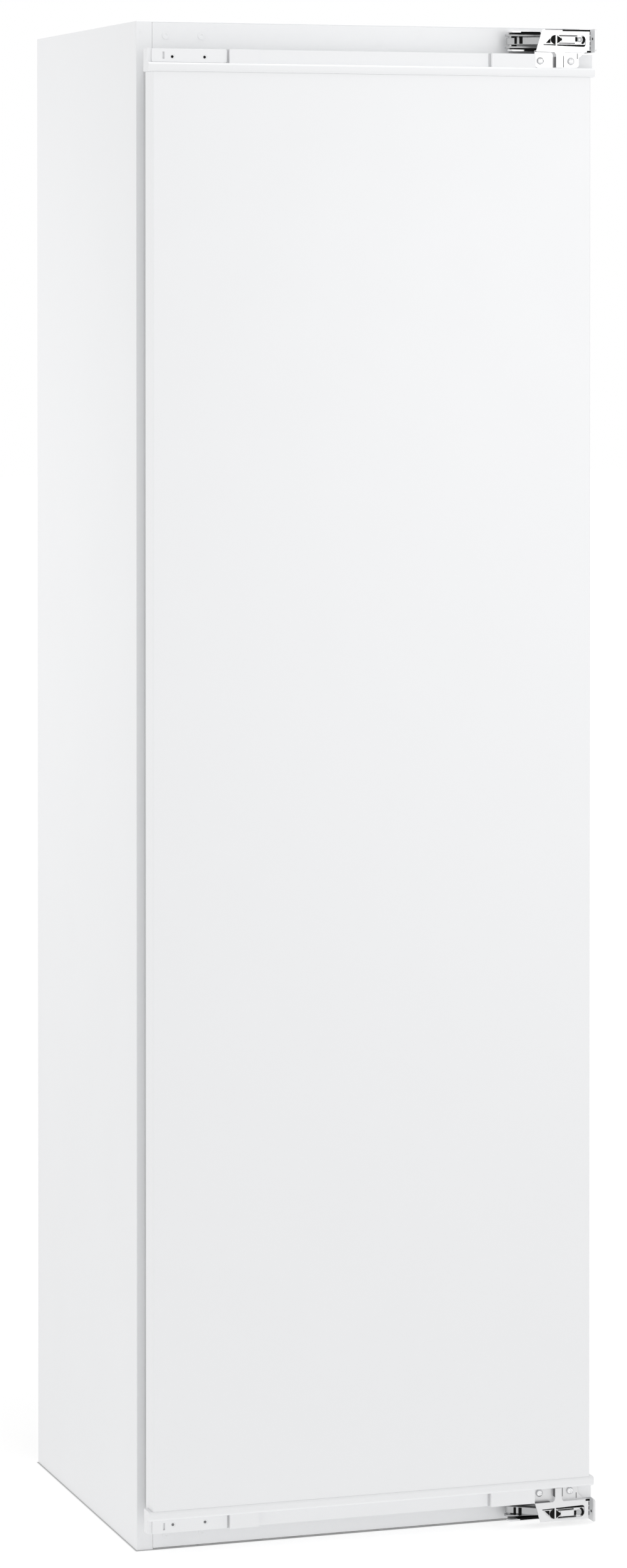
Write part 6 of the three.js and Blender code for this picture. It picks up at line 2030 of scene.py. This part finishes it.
    def _ear_rim(self, end: End) -> None:
        """A dark pad of painted shade that shows as a thin shadow line round the left screw ear.

        Args:
            end: Which hinge.
        """
        x, z = self.ear_rim
        lift = self.lower_ear_lift if end is End.BOTTOM else 0.0
        outline = rounded(x, (z[0] + lift, z[1]), (4.6, 4.6, 0, 0), 8)
        shape = Shape().prism(outline, "y", self.ear_face)
        self._end("plate_pad_{}", shape, PAINTED_SHADE_GREY, "door", end)

    def _end(self, name: str, shape: Shape, finish: Finish, body: str, end: End, *nodes: str) -> None:
        """Ends a piece that is drawn for the top hinge about its middle height.

        Args:
            name: The name of the piece, with a gap for the end.
            shape: The top hinge's shape.
            finish: Its finish.
            body: The body that it rides on.
            end: Which hinge.
            *nodes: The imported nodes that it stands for.
        """
        shape.bm.transform(Matrix.Translation((0, 0, self.middle)))
        placed = shape.mirrored(self.lower_shift) if end is End.BOTTOM else shape
        piece(name.format(end), placed, finish, body, *nodes)

    def _boxes(self, name: str, boxes: Sequence[Span], finish: Finish, body: str, end: End) -> None:
        """Small bars and sheets of one finish as one piece.

        Args:
            name: The start of the piece's name.
            boxes: Lows and highs along x, y and z.
            finish: Its finish.
            body: The body that it rides on.
            end: Which hinge.
        """
        shape = Shape()
        for x0, x1, y0, y1, z0, z1 in boxes:
            shape.box((x0, x1), (y0, y1), (z0, z1), 0.12, 1)
        self._end(name + "_{}", shape, finish, body, end)

    def _window(self, end: End) -> None:
        """Painted shade in the plate's window as dead-black bars and shapes, and the round boss at its
        right.

        Args:
            end: Which hinge.
        """
        shape = Shape()
        for x0, x1, y0, y1, z0, z1 in self.window_dark:
            shape.box((x0, x1), (y0, y1), (z0, z1))
        disc = arc((224.4, 1.3), 5.4, 90, 270, 16)
        wedges = ([(226.6, -3.6), (233.6, 1.6), (226.6, 6.2)], [(212.6, -3.0), (218.2, -3.0), (218.2, 2.6)])
        crescent = arc((255.6, 1.4), 6.2, -55, 40, 10) + arc((254.2, 1.6), 5.0, 50, -60, 10)
        for outline in (disc, *wedges, crescent):
            shape.prism(outline, "y", self.window_face)
        self._end("window_dark_{}", shape, PAINTED_SHADE_BLACK, "door", end)
        boss = Shape().lathe(
            [(0, -49.3), (2.6, -49.3), (3.2, -48.9), (3.2, -48.0), (0, -48.0)], (255.0, 0, 1.6), "y", 24
        )
        self._end("window_boss_{}", boss, NICKEL, "door", end)

    def _screws(self, end: End) -> None:
        """Pan-head screws with a cross recess.

        Args:
            end: Which hinge.
        """
        profile = [
            (0, -46.6), (2.2, -46.6), (3.4, -46.2), (4.1, -45.3), (4.3, -44.2), (2.0, -44.2), (2.0, -34.0),
            (0, -33.0),
        ]
        for x, side in zip(self.screw_places, ("left", "right"), strict=True):
            z = self.screw_z
            shape = Shape().lathe(profile, (x, 0, z), "y", 32)
            for wide, high in (self.recess_half, self.recess_half[::-1]):
                shape.cut(Shape().box((x - wide, x + wide), self.recess_depth, (z - high, z + high)))
            node = f"hinge_screw_{end}_{side}"
            self._end(f"{node}_finished", shape, CHROME, "door", end, node)

    def _rivet(self, end: End) -> None:
        """The rivet in the wall beside the door's edge.

        Args:
            end: Which hinge.
        """
        x, y, z = self.wall_rivet
        profile = [(0, -0.9), (1.2, -0.9), (1.7, -0.4), (1.8, 0.1), (0, 0.1)]
        shape = Shape().lathe(profile, (x, y, z), "x", 20)
        # The rivet is drawn in the painted-shade black, which shows it as a dark dot.
        self._end("wall_rivet_{}", shape, PAINTED_SHADE_BLACK, "cabinet", end)


@dataclass(frozen=True)
class Studio:
    """A white room: soft lamps and a pale floor."""

    background: float = 0.77
    floor_shade: float = 0.45
    floor_light: float = 0.69
    floor_half: float = 30.0
    # The painted contact shadow: its darkest share, and the distances from the footprint where it starts
    # and ends, in metres; then the footprint's half sizes.
    contact: Point = (0.35, 0.0, 0.0026)
    contact_half: Pair = (HALF * MM, 0.2225)
    key: Beam = ((1.2, -3.0, 1.7), (0.5, -0.27, 1.22), 42.0, 38.0)
    fill: Beam = ((-3.0, 0.9, 1.5), (-0.274, 0.35, 1.25), 36.0, 38.0)
    overhead: Beam = ((0.1, -0.45, 3.0), (0.0, -0.25, 1.77), 0.8, 8.0)

    def build(self) -> None:
        """Sets the world, the floor and the lamps."""
        self._world()
        self._floor()
        self._spot("key", *self.key)
        self._spot("fill", *self.fill)
        self._lamp("overhead", *self.overhead)

    def _world(self) -> None:
        """White where the camera or a reflection sees it, a little darker as light."""
        world = bpy.data.worlds.new("white_room")
        bpy.context.scene.world = world
        world.use_nodes = True
        tree = Tree(world.node_tree)
        path = tree.add("ShaderNodeLightPath")
        seen = tree.math("MAXIMUM", path.outputs["Is Camera Ray"], path.outputs["Is Glossy Ray"])
        seen = tree.math("MAXIMUM", seen, path.outputs["Is Transmission Ray"])
        lit = tree.add("ShaderNodeBackground", {"Color": (1, 1, 1, 1), "Strength": self.background})
        white = tree.add("ShaderNodeBackground", {"Color": (1, 1, 1, 1), "Strength": 1.0})
        mix = tree.add("ShaderNodeMixShader", {0: seen, 1: lit.outputs[0], 2: white.outputs[0]})
        tree.add("ShaderNodeOutputWorld", {0: mix.outputs[0]})

    def _floor(self) -> None:
        """A wide pale floor that keeps the shadow, and darkens to a painted contact shadow along the
        cabinet's sides.
        """
        mesh = bpy.data.meshes.new("studio_floor")
        half = self.floor_half
        mesh.from_pydata(
            [(-half, -half, 0), (half, -half, 0), (half, half, 0), (-half, half, 0)], [], [(0, 1, 2, 3)]
        )
        floor = bpy.data.objects.new("studio_floor", mesh)
        bpy.context.scene.collection.objects.link(floor)
        material = bpy.data.materials.new("pale_floor")
        material.use_nodes = True
        tree = Tree(material.node_tree)
        # Painted contact shadow: the floor's colour and glow both darken along the cabinet's sides.
        painted_shadow = self._contact_mask(tree)
        matt = tree.add("ShaderNodeBsdfDiffuse", {"Color": tree.math("MULTIPLY", painted_shadow, self.floor_shade)})
        glow = tree.add(
            "ShaderNodeEmission",
            {"Color": (1, 1, 1, 1), "Strength": tree.math("MULTIPLY", painted_shadow, self.floor_light)},
        )
        both = tree.add("ShaderNodeAddShader", {0: matt.outputs[0], 1: glow.outputs[0]})
        tree.add("ShaderNodeOutputMaterial", {"Surface": both.outputs[0]})
        mesh.materials.append(material)

    def _contact_mask(self, tree: Tree) -> bpy.types.NodeSocket:
        """A painted contact shadow: one on the floor, falling to a dark line close to the cabinet's sides.

        Args:
            tree: The tree of the floor's material.

        Returns:
            The mask.
        """
        place = tree.add("ShaderNodeNewGeometry").outputs["Position"]
        parts = tree.add("ShaderNodeSeparateXYZ", {0: place})
        gaps = []
        for axis, half in zip("XY", self.contact_half, strict=True):
            gap = tree.math("SUBTRACT", tree.math("ABSOLUTE", parts.outputs[axis]), half)
            gap = tree.math("MAXIMUM", gap, 0.0)
            gaps.append(tree.math("MULTIPLY", gap, gap))
        gap = tree.math("SQRT", tree.math("ADD", *gaps))
        dark, start, end = self.contact
        ramp = {0: gap, 1: start, 2: end, 3: dark, 4: 1.0}
        return tree.add("ShaderNodeMapRange", ramp).outputs[0]

    def _spot(self, name: str, place: Point, target: Point, cone: float, power: float) -> None:
        """A spot lamp whose soft cone brightens one area.

        Args:
            name: The lamp's name.
            place: The lamp's place, in metres.
            target: The point that it shines at.
            cone: The cone's angle, in degrees.
            power: Its power, in watts.
        """
        lamp = bpy.data.lights.new(name, "SPOT")
        lamp.spot_size, lamp.spot_blend = math.radians(cone), 1.0
        lamp.shadow_soft_size, lamp.energy = 0.4, power
        self._aim(name, lamp, place, target)

    def _lamp(self, name: str, place: Point, target: Point, size: float, power: float) -> None:
        """A square soft lamp aimed at a point.

        Args:
            name: The lamp's name.
            place: The lamp's place, in metres.
            target: The point that it shines at.
            size: The length of its side, in metres.
            power: Its power, in watts.
        """
        lamp = bpy.data.lights.new(name, "AREA")
        lamp.shape, lamp.size, lamp.energy = "SQUARE", size, power
        self._aim(name, lamp, place, target)

    @staticmethod
    def _aim(name: str, lamp: bpy.types.Light, place: Point, target: Point) -> None:
        """Places a lamp and turns it to a point.

        Args:
            name: The lamp's name.
            lamp: The lamp's data.
            place: The lamp's place, in metres.
            target: The point that it shines at.
        """
        obj = bpy.data.objects.new(name, lamp)
        aim = (Vector(target) - Vector(place)).to_track_quat("-Z", "Y").to_matrix().to_4x4()
        obj.matrix_world = Matrix.Translation(place) @ aim
        bpy.context.scene.collection.objects.link(obj)


@dataclass(frozen=True)
class Viewpoint:
    """The photo's camera."""

    place: Point = (-1.8162, -5.5909, 1.4673)
    yaw: float = 0.31637
    pitch: float = 0.01479
    lens: float = 111.13
    rise: float = -0.2736

    def build(self) -> None:
        """Places the camera."""
        camera = bpy.data.cameras.new("camera")
        camera.lens, camera.sensor_fit, camera.sensor_height = self.lens, "VERTICAL", 36.0
        camera.shift_y = self.rise
        obj = bpy.data.objects.new("camera", camera)
        turn = Matrix.Rotation(-self.yaw, 4, "Z") @ Matrix.Rotation(math.pi / 2 - self.pitch, 4, "X")
        obj.matrix_world = Matrix.Translation(self.place) @ turn
        bpy.context.scene.collection.objects.link(obj)
        bpy.context.scene.camera = obj


def main() -> None:
    """Builds the scene."""
    logging.basicConfig(level=logging.INFO, format="%(message)s")
    for part in (CabinetShell(), ColdRoom(), CoolingCircuit(), Door(), Hinges(), Studio(), Viewpoint()):
        part.build()
    bpy.context.scene.view_settings.view_transform = "Standard"


if __name__ == "__main__":
    main()
